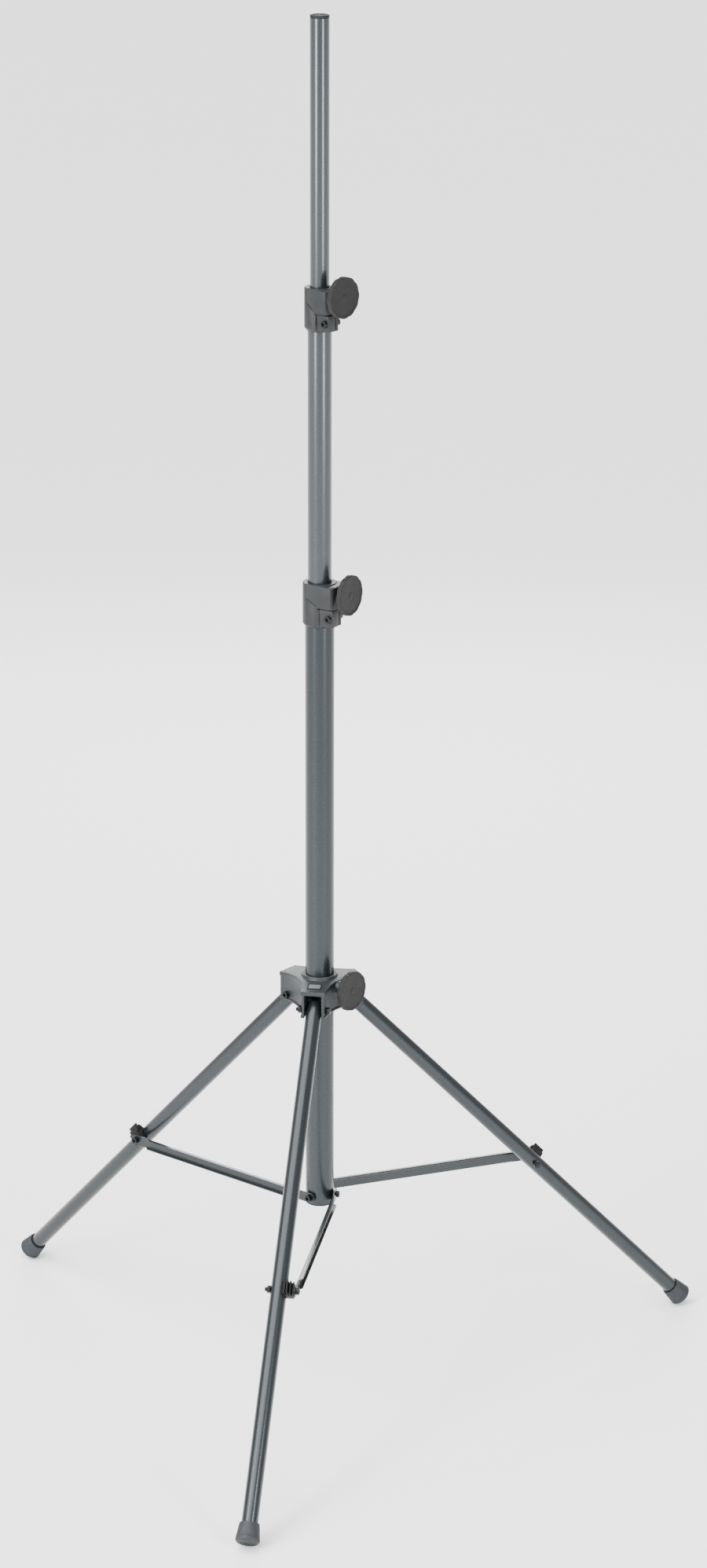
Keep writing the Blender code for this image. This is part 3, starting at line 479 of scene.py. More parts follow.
def cast_paint(name, colour):
    """Thick paint over a die casting, a little coarser and flatter than the tubes' coat."""
    look = Nodes(name)
    cloud = look.between(look.noise(25.0, 4.0), 0.0, 1.0)
    skin = look.relief(look.noise(900.0, 3.0), 0.22, 0.0004)
    cast = look.relief(look.noise(160.0, 2.0), 0.12, 0.0008, skin)
    look.set(
        Base_Color=look.tint(cloud, shade(colour, 0.90), shade(colour, 1.08)),
        Roughness=look.between(look.noise(420.0, 3.0), 0.40, 0.52),
        Metallic=0.30,
        Normal=cast,
    )
    look.shader.inputs["Specular IOR Level"].default_value = 0.35
    return look.material


def moulded_plastic(name, colour, low, high, grain=1500.0, depth=0.20):
    """Moulded plastic with a spark-eroded grain."""
    look = Nodes(name)
    cloud = look.between(look.noise(40.0, 4.0), 0.0, 1.0)
    texture = look.relief(look.grain(grain), depth, 0.0003)
    flow = look.relief(look.noise(90.0, 2.0), 0.08, 0.0008, texture)
    look.set(
        Base_Color=look.tint(cloud, shade(colour, 0.88), shade(colour, 1.12)),
        Roughness=look.between(look.noise(500.0, 3.0), low, high),
        Normal=flow,
    )
    look.shader.inputs["Specular IOR Level"].default_value = 0.22
    return look.material


def foot_rubber(name, colour):
    """Matt rubber, paler where dust sits in its skin."""
    look = Nodes(name)
    dust = look.between(look.noise(70.0, 6.0, 0.65), 0.0, 1.0, 0.45, 0.8)
    skin = look.relief(look.noise(1100.0, 3.0), 0.30, 0.0004)
    look.set(
        Base_Color=look.tint(dust, colour, shade(colour, 1.7)),
        Roughness=look.between(look.noise(350.0, 3.0), 0.55, 0.75),
        Normal=skin,
    )
    return look.material


def black_steel(name, colour):
    """Blackened steel with oil-dark patches."""
    look = Nodes(name)
    patch = look.between(look.noise(220.0, 5.0), 0.0, 1.0)
    skin = look.relief(look.noise(1800.0, 2.0), 0.15, 0.0002)
    look.set(
        Base_Color=look.tint(patch, shade(colour, 0.7), shade(colour, 1.5)),
        Roughness=look.between(look.noise(600.0, 3.0), 0.25, 0.42),
        Metallic=0.85,
        Normal=skin,
    )
    return look.material


FINISHES = {
    "powder_coat": powder_coat,
    # The darker, less glossy copy of the tubes' coat below is painted shade: the lower tube, legs and braces share
    # the upper tubes' coat and are darkened to stand in for less light falling on them lower down.
    "lower_coat": lambda name, colour: powder_coat(name, colour, 0.22),
    "cast_paint": cast_paint,
    "clamp_plastic": lambda name, colour: moulded_plastic(name, colour, 0.40, 0.55),
    "knob_plastic": lambda name, colour: moulded_plastic(name, colour, 0.50, 0.66, 1900.0, 0.25),
    "spacer_plastic": lambda name, colour: moulded_plastic(name, colour, 0.50, 0.66, 1900.0, 0.25),
    "plate_face": lambda name, colour: moulded_plastic(name, colour, 0.30, 0.42, 2200.0, 0.05),
    "glide_plastic": lambda name, colour: moulded_plastic(name, colour, 0.35, 0.50, 2200.0, 0.08),
    "foot_rubber": foot_rubber,
    "black_steel": black_steel,
}


def finish(look):
    """The material of one of the looks above, made once."""
    made = bpy.data.materials.get(look + "_finish")
    if made is None:
        made = FINISHES[look](look + "_finish", tuple(getattr(settings(), look)))
    return made


# ---- settings ----


def colour_property(name, description, default):
    return bpy.props.FloatVectorProperty(
        name=name, description=description, default=default, subtype="COLOR", size=3, min=0.0, max=1.0
    )


def length_property(name, description, default):
    return bpy.props.FloatProperty(
        name=name, description=description, default=default, min=0.0, unit="LENGTH", precision=4
    )


def strength_property(name, description, default, unit="NONE"):
    return bpy.props.FloatProperty(name=name, description=description, default=default, min=0.0, unit=unit)


class StandLooks(bpy.types.PropertyGroup):
    """Colours and small sizes of the stand's finished pieces."""

    powder_coat: colour_property("Upper Coat", "Colour of the two upper tubes", (0.030, 0.037, 0.042))
    # The lower tube, legs and braces share the upper tubes' coat; this darker colour is painted shade for less
    # light falling on them lower down.
    lower_coat: colour_property("Lower Coat", "Colour of the lower tube, legs, braces", (0.018, 0.023, 0.026))
    cast_paint: colour_property("Casting", "Colour of the leg base casting", (0.024, 0.0285, 0.031))
    clamp_plastic: colour_property("Clamps", "Colour of the two clamp collars", (0.019, 0.0205, 0.022))
    knob_plastic: colour_property("Knobs", "Colour of the knobs, cap and plug", (0.010, 0.010, 0.010))
    spacer_plastic: colour_property("Spacers", "Colour of the ribbed spacers", (0.003, 0.003, 0.0035))
    glide_plastic: colour_property("Glides", "Colour of the bushes and pressure pads", (0.060, 0.062, 0.064))
    plate_face: colour_property("Plate Face", "Colour of the plate's plain face", (0.11, 0.115, 0.12))
    foot_rubber: colour_property("Feet", "Colour of the rubber feet", (0.010, 0.012, 0.015))
    black_steel: colour_property("Fasteners", "Colour of the bolts, nuts and washers", (0.018, 0.019, 0.021))
    tube_lip: length_property("Tube Lip", "Rounding of a tube's cut ends", 0.0006)
    clamp_edge: length_property("Clamp Edge", "Rounding of the clamps' moulded edges", 0.0007)
    casting_edge: length_property("Casting Edge", "Rounding of the leg base's cast edges", 0.0009)
    knob_lobe_depth: length_property("Knob Lobe Depth", "How far the knobs' grooves are cut in", 0.0010)
    knob_lobes: bpy.props.IntProperty(
        name="Knob Lobes", description="Number of lobes round a knob", default=12, min=3
    )


class StandStage(bpy.types.PropertyGroup):
    """Floor, lights and camera of the stand's stage."""

    floor: colour_property("Floor", "Colour of the plain floor", (0.93, 0.93, 0.93))
    key_power: strength_property("Key Light", "Power of the large soft light", 300.0, "POWER")
    fill_power: strength_property("Fill Light", "Power of the smaller soft light", 130.0, "POWER")
    back_power: strength_property("Back Light", "Power of the broad light behind", 170.0, "POWER")
    top_power: strength_property("Top Light", "Strength of the very soft light from overhead", 6.5)
    sky: strength_property("Sky", "Strength of the even light from all round", 0.8)
    camera_distance: length_property("Camera Distance", "From the column to the camera, level", 7.6014)
    camera_height: length_property("Camera Height", "From the floor to the camera", 3.6906)
    camera_azimuth: bpy.props.FloatProperty(
        name="Camera Azimuth",
        description="Direction of the camera from the column",
        default=math.radians(-80.4),
        subtype="ANGLE",
    )
    camera_pitch: bpy.props.FloatProperty(
        name="Camera Pitch",
        description="How far the camera looks down",
        default=math.radians(18.26),
        subtype="ANGLE",
    )


# ---- column ----


class STAND_OT_tubes(bpy.types.Operator):
    """Make the three telescoping tubes and the three leg tubes"""

    bl_idname = "stand.tubes"
    bl_label = "Tubes"

    def execute(self, context):
        lip = settings().tube_lip
        walls = (("lower_tube", LOWER_TUBE_WALL), ("middle_tube", TUBE_WALL), ("top_tube", TUBE_WALL))
        for node, wall in walls:
            low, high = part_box(node)
            outer = radius_of(node)
            profile = [(outer, high.z), (outer, low.z), (outer - wall, low.z), (outer - wall, high.z)]
            rounded = fillet(profile, lip, 4, closed=True)
            tube = turned(f"{node}_coated", rounded, column_frame(), FINE, ring=True)
            # The lower tube takes the darker copy of the coat, which is painted shade.
            dress(tube, node, "powder_coat", look="lower_coat" if node == "lower_tube" else None)
        for leg in LEGS:
            node = f"{leg}_leg_tube"
            matrix = leg_frame(leg)
            low, high = span_along(node, matrix)
            side_low, side_high = span_along(node, matrix, 1)
            outer = (side_high - side_low) / 2
            inner = outer - TUBE_WALL
            profile = [(outer, high), (outer, low), (inner, low), (inner, high)]
            rounded = fillet(profile, lip, 4, closed=True)
            tube = turned(f"{node}_coated", rounded, matrix @ ALONG["X"], MEDIUM, ring=True)
            # The legs take the darker copy of the coat, which is painted shade.
            dress(tube, node, "powder_coat", look="lower_coat")
        return {"FINISHED"}


class STAND_OT_column_ends(bpy.types.Operator):
    """Make the pole cap and the plug in the column's foot"""

    bl_idname = "stand.column_ends"
    bl_label = "Cap and Plug"

    def execute(self, context):
        low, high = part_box("pole_cap")
        outer = radius_of("pole_cap")
        inner = outer - 0.0018
        rim = high.z - 0.0050 + GAP
        profile = [
            (0.0, high.z - 0.0006),
            (outer - 0.0042, high.z - 0.0006),
            (outer - 0.0030, high.z),
            (outer, high.z),
            (outer, rim),
            (inner, rim),
            (inner, low.z),
            (0.0, low.z),
        ]
        rounded = fillet(profile, [0, 0.0005, 0.0005, 0.0011, 0.0004, 0, 0.0008, 0])
        dress(turned("pole_cap_moulded", rounded, column_frame(), FINE), "pole_cap", "knob_plastic")
        low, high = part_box("lower_tube_plug")
        outer = radius_of("lower_tube_plug")
        tube_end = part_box("lower_tube")[0].z - GAP
        inner = outer - 0.0023
        profile = [
            (0.0, high.z - 0.012),
            (inner - 0.003, high.z - 0.012),
            (inner - 0.003, high.z),
            (inner, high.z),
            (inner, tube_end),
            (outer, tube_end),
            (outer, low.z),
            (inner - 0.006, low.z),
            (inner - 0.007, low.z + 0.0012),
            (0.0, low.z + 0.0012),
        ]
        rounded = fillet(profile, [0, 0.001, 0.0006, 0.0006, 0, 0.0004, 0.0009, 0.0004, 0.0004, 0])
        plug = turned("lower_tube_plug_moulded", rounded, column_frame(), FINE)
        dress(plug, "lower_tube_plug", "knob_plastic")
        return {"FINISHED"}


class STAND_OT_glides(bpy.types.Operator):
    """Make the two glide bushes, the leg base's liner and the pressure pads"""

    bl_idname = "stand.glides"
    bl_label = "Glides and Pads"

    def execute(self, context):
        for node, inside in (("middle_glide", "middle_tube"), ("top_glide", "top_tube")):
            dress(self.bush(node, inside, 0.0006), node, "glide_plastic")
        liner = self.bush("leg_base_liner", "lower_tube", 0.0007)
        cut(liner, rod("liner_drill", PAD_BORE, 0.0, FAR, screw_frame("leg_base"), "X"))
        dress(liner, "leg_base_liner", "glide_plastic")
        for screw in SCREWS:
            node = f"{screw}_pressure_pad"
            matrix = screw_frame(screw)
            low, high = span_along(node, matrix)
            profile = fillet([(0.0, high), (PAD_RADIUS, high), (PAD_RADIUS, low), (0.0, low)], 0.0006)
            dress(turned(f"{node}_moulded", profile, matrix @ ALONG["X"], SMALL), node, "glide_plastic")
        return {"FINISHED"}

    def bush(self, node, inside, edge):
        """A plain ring that runs on the tube inside it."""
        low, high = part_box(node)
        outer = radius_of(node)
        inner = radius_of(inside) + GAP
        profile = [(outer, high.z), (outer, low.z), (inner, low.z), (inner, high.z)]
        rounded = fillet(profile, edge, 3, closed=True)
        return turned(f"{node}_moulded", rounded, column_frame(), FINE, ring=True)


# ---- clamps ----


def clamp_shape(name, outer_node, inner_node, lug_height):
    """The collar of a telescoping joint: ring, flattened cheeks, knob boss, slit lug and its bores."""
    matrix = screw_frame(name)
    node = f"{name}_clamp"
    bottom, top = span_along(node, matrix, 2)
    outer = radius_of(outer_node)
    inner = radius_of(inner_node)
    shoulder = span_along(outer_node, matrix, 2)[1] + GAP
    ring = -span_along(node, matrix)[0]
    chamfer = ring - outer - CLAMP_BOTTOM_RIM
    cheek = ring - CLAMP_CHEEK_INSET
    boss_end = span_along(f"{name}_knob", matrix)[0] - RUNNING_GAP - GAP
    pinch = matrix.inverted() @ centre_of(f"{name}_pinch_bolt")
    pinch.y = 0.0
    lug_end = pinch.x + PINCH_INSET
    lug_bottom = pinch.z - lug_height / 2
    lug_top = pinch.z + lug_height / 2
    lug_face = -LUG_FACE_SHARE * outer
    slit_top = lug_top + LUG_SLIT
    slit_middle = lug_top + LUG_SLIT / 2
    profile = [
        (0.0, top),
        (ring, top),
        (ring, bottom + chamfer * 1.25),
        (ring - chamfer, bottom),
        (0.0, bottom),
    ]
    body = turned(f"{name}_collar", fillet(profile, [0, 0.0014, 0.002, 0.0012, 0], 5), matrix, FINE)
    wide = cheek + 2 * GAP
    plan = [(0.0, -wide)]
    plan += arc((boss_end - BOSS_CORNER, BOSS_CORNER - wide), BOSS_CORNER, -90.0, 0.0, 12)
    plan += arc((boss_end - BOSS_CORNER, wide - BOSS_CORNER), BOSS_CORNER, 0.0, 90.0, 12)
    plan += [(0.0, wide)]
    boss = prism(f"{name}_boss", plan, lug_top + LUG_SLIT * 0.4, top - BOSS_TOP_DROP, matrix)
    lug_low = (outer * 0.6, lug_face - 2 * GAP, lug_bottom)
    ear = box(f"{name}_ear", lug_low, (lug_end, LUG_MOVING_EAR, lug_top + LUG_SLIT * 0.6), matrix)
    join(body, boss, ear)
    flat = [
        (-outer * 0.45, top + FAR),
        (2 * FAR, top + FAR),
        (2 * FAR, slit_top),
        (outer * 0.6, slit_top),
        (-outer * 0.45, top - (top - bottom) * CLAMP_ROUND_SHARE),
    ]
    for hand in (-1, 1):
        depth = sorted((-hand * cheek, -hand * (cheek + FAR)))
        cut(body, prism(f"{name}_cheek_{hand}", flat, depth[0], depth[1], matrix, "-Y"))
    lug_reach = (2 * FAR, lug_face, slit_middle)
    cut(
        body,
        box(f"{name}_lug_cut", (outer * 0.6, -2 * FAR, bottom - FAR), lug_reach, matrix),
        rod(f"{name}_lower_bore", outer + GAP, bottom - FAR, shoulder, matrix, steps=FINE),
        rod(f"{name}_upper_bore", inner + GAP, bottom, top + FAR, matrix, steps=FINE),
        box(f"{name}_slit", (inner / 2, -LUG_SLIT, bottom - FAR), (2 * FAR, 0.0, slit_middle), matrix),
        box(f"{name}_relief", (outer * 0.5, -2 * FAR, lug_top), (2 * FAR, 2 * FAR, slit_top), matrix),
        rod(f"{name}_stud_drill", STUD_BORE, 0.0, 2 * FAR, matrix, "X"),
        rod(f"{name}_pad_drill", PAD_BORE, 0.0, inner + PAD_ROOM, matrix, "X"),
        rod(f"{name}_pinch_drill", BOLT_BORE, -FAR, FAR, matrix, "Y", pinch),
        rod(f"{name}_nut_seat", NUT_SEAT_RADIUS, LUG_MOVING_EAR, FAR, matrix, "Y", pinch),
    )
    return body


class STAND_OT_clamps(bpy.types.Operator):
    """Make the two clamp collars"""

    bl_idname = "stand.clamps"
    bl_label = "Clamps"

    def execute(self, context):
        edge = settings().clamp_edge
        lower = clamp_shape("lower", "lower_tube", "middle_tube", LOWER_LUG_HEIGHT)
        upper = clamp_shape("upper", "middle_tube", "top_tube", UPPER_LUG_HEIGHT)
        dress(soften(lower, edge), "lower_clamp", "clamp_plastic")
        dress(soften(upper, edge), "upper_clamp", "clamp_plastic")
        return {"FINISHED"}


# ---- knobs ----


class STAND_OT_knobs(bpy.types.Operator):
    """Make the three lobed clamp knobs and their studs"""

    bl_idname = "stand.knobs"
    bl_label = "Knobs"

    def execute(self, context):
        count = settings().knob_lobes
        depth = settings().knob_lobe_depth
        for screw in SCREWS:
            node = f"{screw}_knob"
            matrix = screw_frame(screw)
            low, high = span_along(node, matrix)
            widest = span_along(node, matrix, 2)[1]
            rim = low + KNOB_SKIRT
            face = high - KNOB_FACE_DROP
            seat = low + STUD_SEAT
            corners = [
                (0.0, face, 0.0),
                (0.0070, face, 0.0),
                (0.0078, face - 0.0004, 0.0004),
                (0.0086, face, 0.0004),
                (widest - 0.0052, face, 0.0006),
                (widest - 0.0040, high, 0.0006),
                (widest, high, 0.0020),
                (widest, rim, 0.0018),
                (widest - 0.0040, rim - 0.0005, 0.0010),
                (0.0165, low, 0.0020),
                (0.0060, low, 0.0005),
                (STUD_BORE, low + 0.0007, 0.0),
                (STUD_BORE, seat, 0.0),
                (0.0, seat, 0.0),
            ]
            profile = fillet([c[:2] for c in corners], [c[2] for c in corners], 5)
            weights = [lobe_weight(radius, widest) for radius, height in profile]

            def lobes(angle, i):
                valley = 1.0 - abs(math.cos(count / 2 * angle)) ** 0.8
                return 1.0 - depth / widest * 1.3 * valley * weights[i]

            knob = turned(f"{node}_moulded", profile, matrix @ ALONG["X"], 16 * count, lobes=lobes)
            dress(knob, node, "knob_plastic", 28.0)
            stud = f"{screw}_stud"
            low, high = span_along(stud, matrix)
            profile = [(0.0, high), *thread_profile(STUD_RADIUS, STUD_THREAD, high, low), (0.0, low)]
            made = turned(f"{stud}_threaded", profile, matrix @ ALONG["X"], SMALL)
            dress(made, stud, "black_steel", 60.0)
        return {"FINISHED"}


def lobe_weight(radius, widest):
    """Grooves fade out from a knob's rim towards its middle."""
    return max(0.0, min(1.0, (radius - (widest - KNOB_FADE)) / KNOB_FADE))


def thread_profile(radius, thread, top, bottom):
    """Ridges down the outside of a stud, from top to bottom. thread is their depth and pitch."""
    depth, pitch = thread
    points = [(radius - depth, top), (radius - depth, top - depth)]
    height = top - depth
    while height - pitch > bottom + depth:
        points.append((radius, height - pitch * 0.40))
        points.append((radius, height - pitch * 0.55))
        points.append((radius - depth, height - pitch))
        height -= pitch
    points.append((radius - depth, bottom))
    return points


# ---- leg base ----


def star_outline(reach, half_width, count):
    """Three arm ends joined by hollow arcs that run out tangent to the arms' sides."""
    corner = half_width / math.sin(math.radians(60))
    radius = (reach - corner / 2) * math.tan(math.radians(60))
    centre_reach = corner + radius / math.sin(math.radians(60))
    points = []
    centres = []
    for azimuth in ARM_AZIMUTHS.values():
        turn = math.radians(azimuth + 60.0)
        centre = (centre_reach * math.cos(turn), centre_reach * math.sin(turn))
        points += arc(centre, radius, azimuth - 90.0, azimuth - 150.0, count)
        centres.append((*centre, 0.0))
    return points, centres, radius


class STAND_OT_leg_base(bpy.types.Operator):
    """Make the three-armed casting that the legs hinge in"""

    bl_idname = "stand.leg_base"
    bl_label = "Leg Base"

    def execute(self, context):
        matrix = column_frame(JOINTS["front_leg_hinge"]["pos_m"][2])
        side = screw_frame("leg_base")
        bottom, hub_top = span_along("leg_base_casting", matrix, 2)
        top = hub_top - HUB_RISE
        arm_end_top = top - ARM_FALL
        ceiling = arm_end_top - ARM_PLATE
        bore = radius_of("leg_base_liner") + GAP
        hub_radius = bore + HUB_WALL
        star, centres, radius = star_outline(ARM_REACH, ARM_HALF_WIDTH, 40)
        casting = prism("leg_base_star", star, bottom, top, matrix)
        crown_profile = [
            (0.0, top),
            (hub_radius, top),
            (ARM_REACH, arm_end_top),
            (2 * ARM_REACH, arm_end_top),
            (2 * ARM_REACH, bottom - FAR),
            (0.0, bottom - FAR),
        ]
        boolean(casting, turned("leg_base_crown", crown_profile, matrix, 2 * FINE), "INTERSECT")
        hub_profile = [
            (0.0, hub_top),
            (hub_radius - HUB_RISE / 2, hub_top),
            (hub_radius, top - HUB_RISE / 2),
            (hub_radius, bottom / 2),
            (0.0, bottom / 2),
        ]
        hub = turned("leg_base_hub", fillet(hub_profile, [0, 0.0015, 0.002, 0, 0], 5), matrix, FINE)
        boss = rod("leg_base_boss", BASE_BOSS_RADIUS, 0.0, BASE_BOSS_REACH, side, "X", steps=MEDIUM)
        slope = math.atan2(ARM_FALL, ARM_REACH - hub_radius)
        pad_matrix = turned_about_z(matrix, ARM_AZIMUTHS["front"])
        pad_matrix @= Matrix.Translation(((hub_radius + ARM_REACH) / 2, 0.0, top - ARM_FALL / 2))
        pad_matrix @= Matrix.Rotation(slope, 4, "Y")
        join(casting, hub, boss)
        for leg, centre in zip(LEGS, centres):
            turn = turned_about_z(matrix, ARM_AZIMUTHS[leg])
            slot_low = (ARM_SLOT_INNER, -ARM_SLOT_HALF, bottom - FAR)
            slot = box(f"{leg}_slot", slot_low, (ARM_REACH + FAR, ARM_SLOT_HALF, ceiling), turn)
            low = bottom + ARM_PLATE / 2
            wide = radius + RECESS_ROOM
            recess = rod(f"{leg}_recess", wide, low, ceiling, matrix, at=centre, steps=3 * FINE)
            keep = rod(f"{leg}_keep", BASE_BOSS_KEEP, 0.0, 2 * FAR, side, "X", steps=MEDIUM)
            cut(recess, keep)
            hinge = leg_frame(leg)
            cut(
                casting,
                slot,
                recess,
                rod(f"{leg}_drill", BOLT_BORE, -FAR, FAR, hinge, "Y"),
                rod(f"{leg}_head_face", BOLT_FACE_RADIUS, ARM_HALF_WIDTH, FAR, hinge, "Y"),
                rod(f"{leg}_nut_face", BOLT_FACE_RADIUS, -FAR, -ARM_HALF_WIDTH, hinge, "Y"),
            )
        cut(
            casting,
            rod("leg_base_bore", bore, -FAR, 2 * FAR, matrix, steps=FINE),
            rod("leg_base_pad_drill", PAD_BORE, 0.0, radius_of("lower_tube") + PAD_ROOM, side, "X"),
            rod("leg_base_stud_drill", STUD_BORE, 0.0, 2 * FAR, side, "X"),
            rod("leg_base_dimple", 0.0016, arm_end_top + 0.0005, top + FAR, matrix, at=(-0.055, 0.0318, 0.0)),
        )
        dress(soften(casting, settings().casting_edge, 3), "leg_base_casting", "cast_paint")
        self.plate("leg_base_plate", pad_matrix, PLATE_HALF, (-0.0012, 0.0006), "knob_plastic")
        inner = tuple(size - PLATE_MARGIN for size in PLATE_HALF)
        self.plate("leg_base_plate_face", pad_matrix, inner, (0.0005, 0.0009), "plate_face")
        return {"FINISHED"}

    def plate(self, name, matrix, half, span, slot):
        """A plain rounded plate, bare of any lettering."""
        x, y = half
        outline = fillet([(-x, -y), (x, -y), (x, y), (-x, y)], 0.0022, 5, closed=True)
        plate = prism(name, outline, span[0], span[1], matrix)
        plate.data.materials.append(finish(slot))
        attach(plate, NODE_BODY["leg_base_casting"])


# ---- legs ----


class STAND_OT_feet(bpy.types.Operator):
    """Make the three rubber feet"""

    bl_idname = "stand.feet"
    bl_label = "Feet"

    def execute(self, context):
        for leg in LEGS:
            node = f"{leg}_foot"
            matrix = leg_frame(leg)
            low, high = span_along(node, matrix)
            tube = LEG_RADIUS + GAP
            profile = [
                (0.0, high - 0.0012),
                (0.0060, high - 0.0012),
                (0.0072, high),
                (0.0100, high),
                (0.0108, high - 0.0012),
                (0.0126, high - 0.0012),
                (0.0134, high),
                (0.0185, high),
                (0.0225, high - 0.0040),
                (0.0220, high - 0.0090),
                (0.0212, high - 0.0094),
                (0.0211, high - 0.0104),
                (0.0217, high - 0.0108),
                (0.0192, low + 0.0046),
                (0.0184, low + 0.0040),
                (0.0185, low),
                (tube, low),
                (tube, high - 0.0090),
                (0.0, high - 0.0090),
            ]
            radii = [0, 0, 0, 0, 0, 0, 0, 0.0008, 0.0024, 0.0004, 0.0003, 0.0003, 0.0004, 0.0005, 0.0005]
            radii += [0.0012, 0.0006, 0, 0]
            foot = turned(f"{node}_moulded", fillet(profile, radii, 5), matrix @ ALONG["X"], FINE)
            dress(foot, node, "foot_rubber", 40.0)
        return {"FINISHED"}


class STAND_OT_spacers(bpy.types.Operator):
    """Make the ribbed blocks between the legs and their braces"""

    bl_idname = "stand.spacers"
    bl_label = "Spacers"

    def execute(self, context):
        for leg in LEGS:
            node = f"{leg}_spacer"
            matrix = leg_frame(leg)
            low, high = span_along(node, matrix)
            face = span_along(node, matrix, 1)[1]
            saddle = LEG_RADIUS + GAP
            points = arc((0, 0), saddle, 62.0, -math.degrees(math.asin(SPACER_GRIP / saddle)), 14)
            radii = [0.0006] + [0] * 13 + [0.0006]
            points += [(face, -SPACER_GRIP)]
            radii += [0.0012]
            tops = (0.01508, 0.02204, 0.0290, 0.02407)
            floors = (0.00812, 0.00986, 0.0116)
            across = face
            for i, top in enumerate(tops):
                points += [(across, top), (across - RIB, top)]
                radii += [0.0010, 0.0010]
                across -= RIB
                if i < len(floors):
                    points += [(across, floors[i]), (across - RIB_GAP, floors[i])]
                    radii += [0.0008, 0.0008]
                    across -= RIB_GAP
            outline = fillet(points, radii, 3, closed=True)
            turn = Matrix.Rotation(math.radians(90), 4, "Z") @ Matrix.Rotation(math.radians(90), 4, "X")
            block = prism(f"{node}_moulded", outline, low, high, matrix @ turn, edge=0.0006)
            dress(block, node, "knob_plastic", 40.0, "spacer_plastic")
        return {"FINISHED"}


# ---- braces ----


def brace_section(half, depth, stock, bend):
    """Half-height, flange depth, stock and outer bend radius to a closed loop of (across, up) points."""
    inner = max(bend - stock, 0.00005)
    tip = min(stock * 0.3, 0.0005)
    points = []
    points += arc((bend, -half + bend), bend, 180.0, 270.0, 5)
    points += [(depth - tip, -half), (depth, -half + tip)]
    points += [(depth, -half + stock - tip), (depth - tip, -half + stock)]
    points += arc((stock + inner, -half + stock + inner), inner, 270.0, 180.0, 4)
    points += arc((stock + inner, half - stock - inner), inner, 180.0, 90.0, 4)
    points += [(depth - tip, half - stock), (depth, half - stock + tip)]
    points += [(depth, half - tip), (depth - tip, half)]
    points += arc((bend, half - bend), bend, 90.0, 180.0, 5)
    return points


class STAND_OT_braces(bpy.types.Operator):
    """Make the three pressed channel braces"""

    bl_idname = "stand.braces"
    bl_label = "Braces"

    def execute(self, context):
        stock = BRACE_STOCK
        half = BRACE_HALF
        thin = stock + 0.0002
        for leg in LEGS:
            node = f"{leg}_brace"
            matrix = brace_frame(leg)
            low, high = span_along(node, matrix)
            near, far = span_along(node, matrix, 1)
            full = far - near
            stations = []
            for i in range(9):
                turn = math.radians(6 + 84 * i / 8)
                stations.append((low + half * (1 - math.cos(turn)), half * math.sin(turn), 0.0))
            tab = low + BRACE_TAB
            for i in range(13):
                t = i / 12
                stations.append((tab + BRACE_FLARE * t, half, t * t * (3 - 2 * t)))
            middle = (low + high) / 2
            mirrored = [(2 * middle - x, h, f) for x, h, f in reversed(stations)]
            bm = bmesh.new()
            rows = []
            for x, h, f in stations + mirrored:
                depth = thin + (full - thin) * f
                bend = 0.0005 + 0.0022 * f
                scale = h / half
                section = brace_section(half, depth, stock, bend)
                rows.append([bm.verts.new((x, near + y, z * scale)) for y, z in section])
            count = len(rows[0])
            for first, second in zip(rows, rows[1:]):
                for k in range(count):
                    n = (k + 1) % count
                    bm.faces.new((first[k], first[n], second[n], second[k]))
            bm.faces.new(rows[0])
            bm.faces.new(list(reversed(rows[-1])))
            bmesh.ops.remove_doubles(bm, verts=bm.verts, dist=0.00001)
            bmesh.ops.recalc_face_normals(bm, faces=bm.faces)
            brace = mesh_from(f"{node}_pressed", bm, matrix)
            # The braces take the darker copy of the coat, which is painted shade.
            dress(brace, node, "powder_coat", 40.0, "lower_coat")
        return {"FINISHED"}


# ---- fasteners ----


def socket_head(name, matrix, grip, tail=0.0):
    """A socket-head bolt, head up local +Z from height 0, with a threaded tail of the given length."""
    profile = [
        (0.0, HEAD_HEIGHT),
        (HEAD_RADIUS, HEAD_HEIGHT),
        (HEAD_RADIUS, 0.0),
        (BOLT_RADIUS, 0.0),
        (BOLT_RADIUS, -grip + tail),
    ]
    outer = fillet(profile, [0, 0.0009, 0.0004, 0.0003, 0], 4)
    if tail:
        outer += thread_profile(BOLT_RADIUS, BOLT_THREAD, -grip + tail - 0.0002, -grip)
    else:
        outer += [(BOLT_RADIUS, -grip)]
    bolt = turned(name, [*outer, (0.0, -grip)], matrix, FASTENER_STEPS)
    floor = HEAD_HEIGHT - HEX_SOCKET_DEPTH
    return cut(bolt, rod(name + "_hex", HEX_SOCKET, floor, FAR, matrix, steps=6))


def hex_nut(name, matrix, height):
    """A chamfered hexagon nut that seats at height 0."""
    corner = NUT_ACROSS_FLATS / 2 / math.cos(math.radians(30))
    nut = rod(name, corner, 0.0, height, matrix, steps=6)
    low = NUT_FACE_RADIUS
    wide = corner + 0.0004
    profile = [(0.0, height + 0.0001), (low, height + 0.0001), (wide, height - 0.0010)]
    profile += [(wide, 0.0005), (low, -0.0001), (0.0, -0.0001)]
    boolean(nut, turned(name + "_chamfer", profile, matrix, FASTENER_STEPS), "INTERSECT")
    return cut(nut, rod(name + "_thread", BOLT_BORE, -FAR, FAR, matrix))


def middle_along(node, matrix, axis):
    low, high = span_along(node, matrix, axis)
    return (low + high) / 2


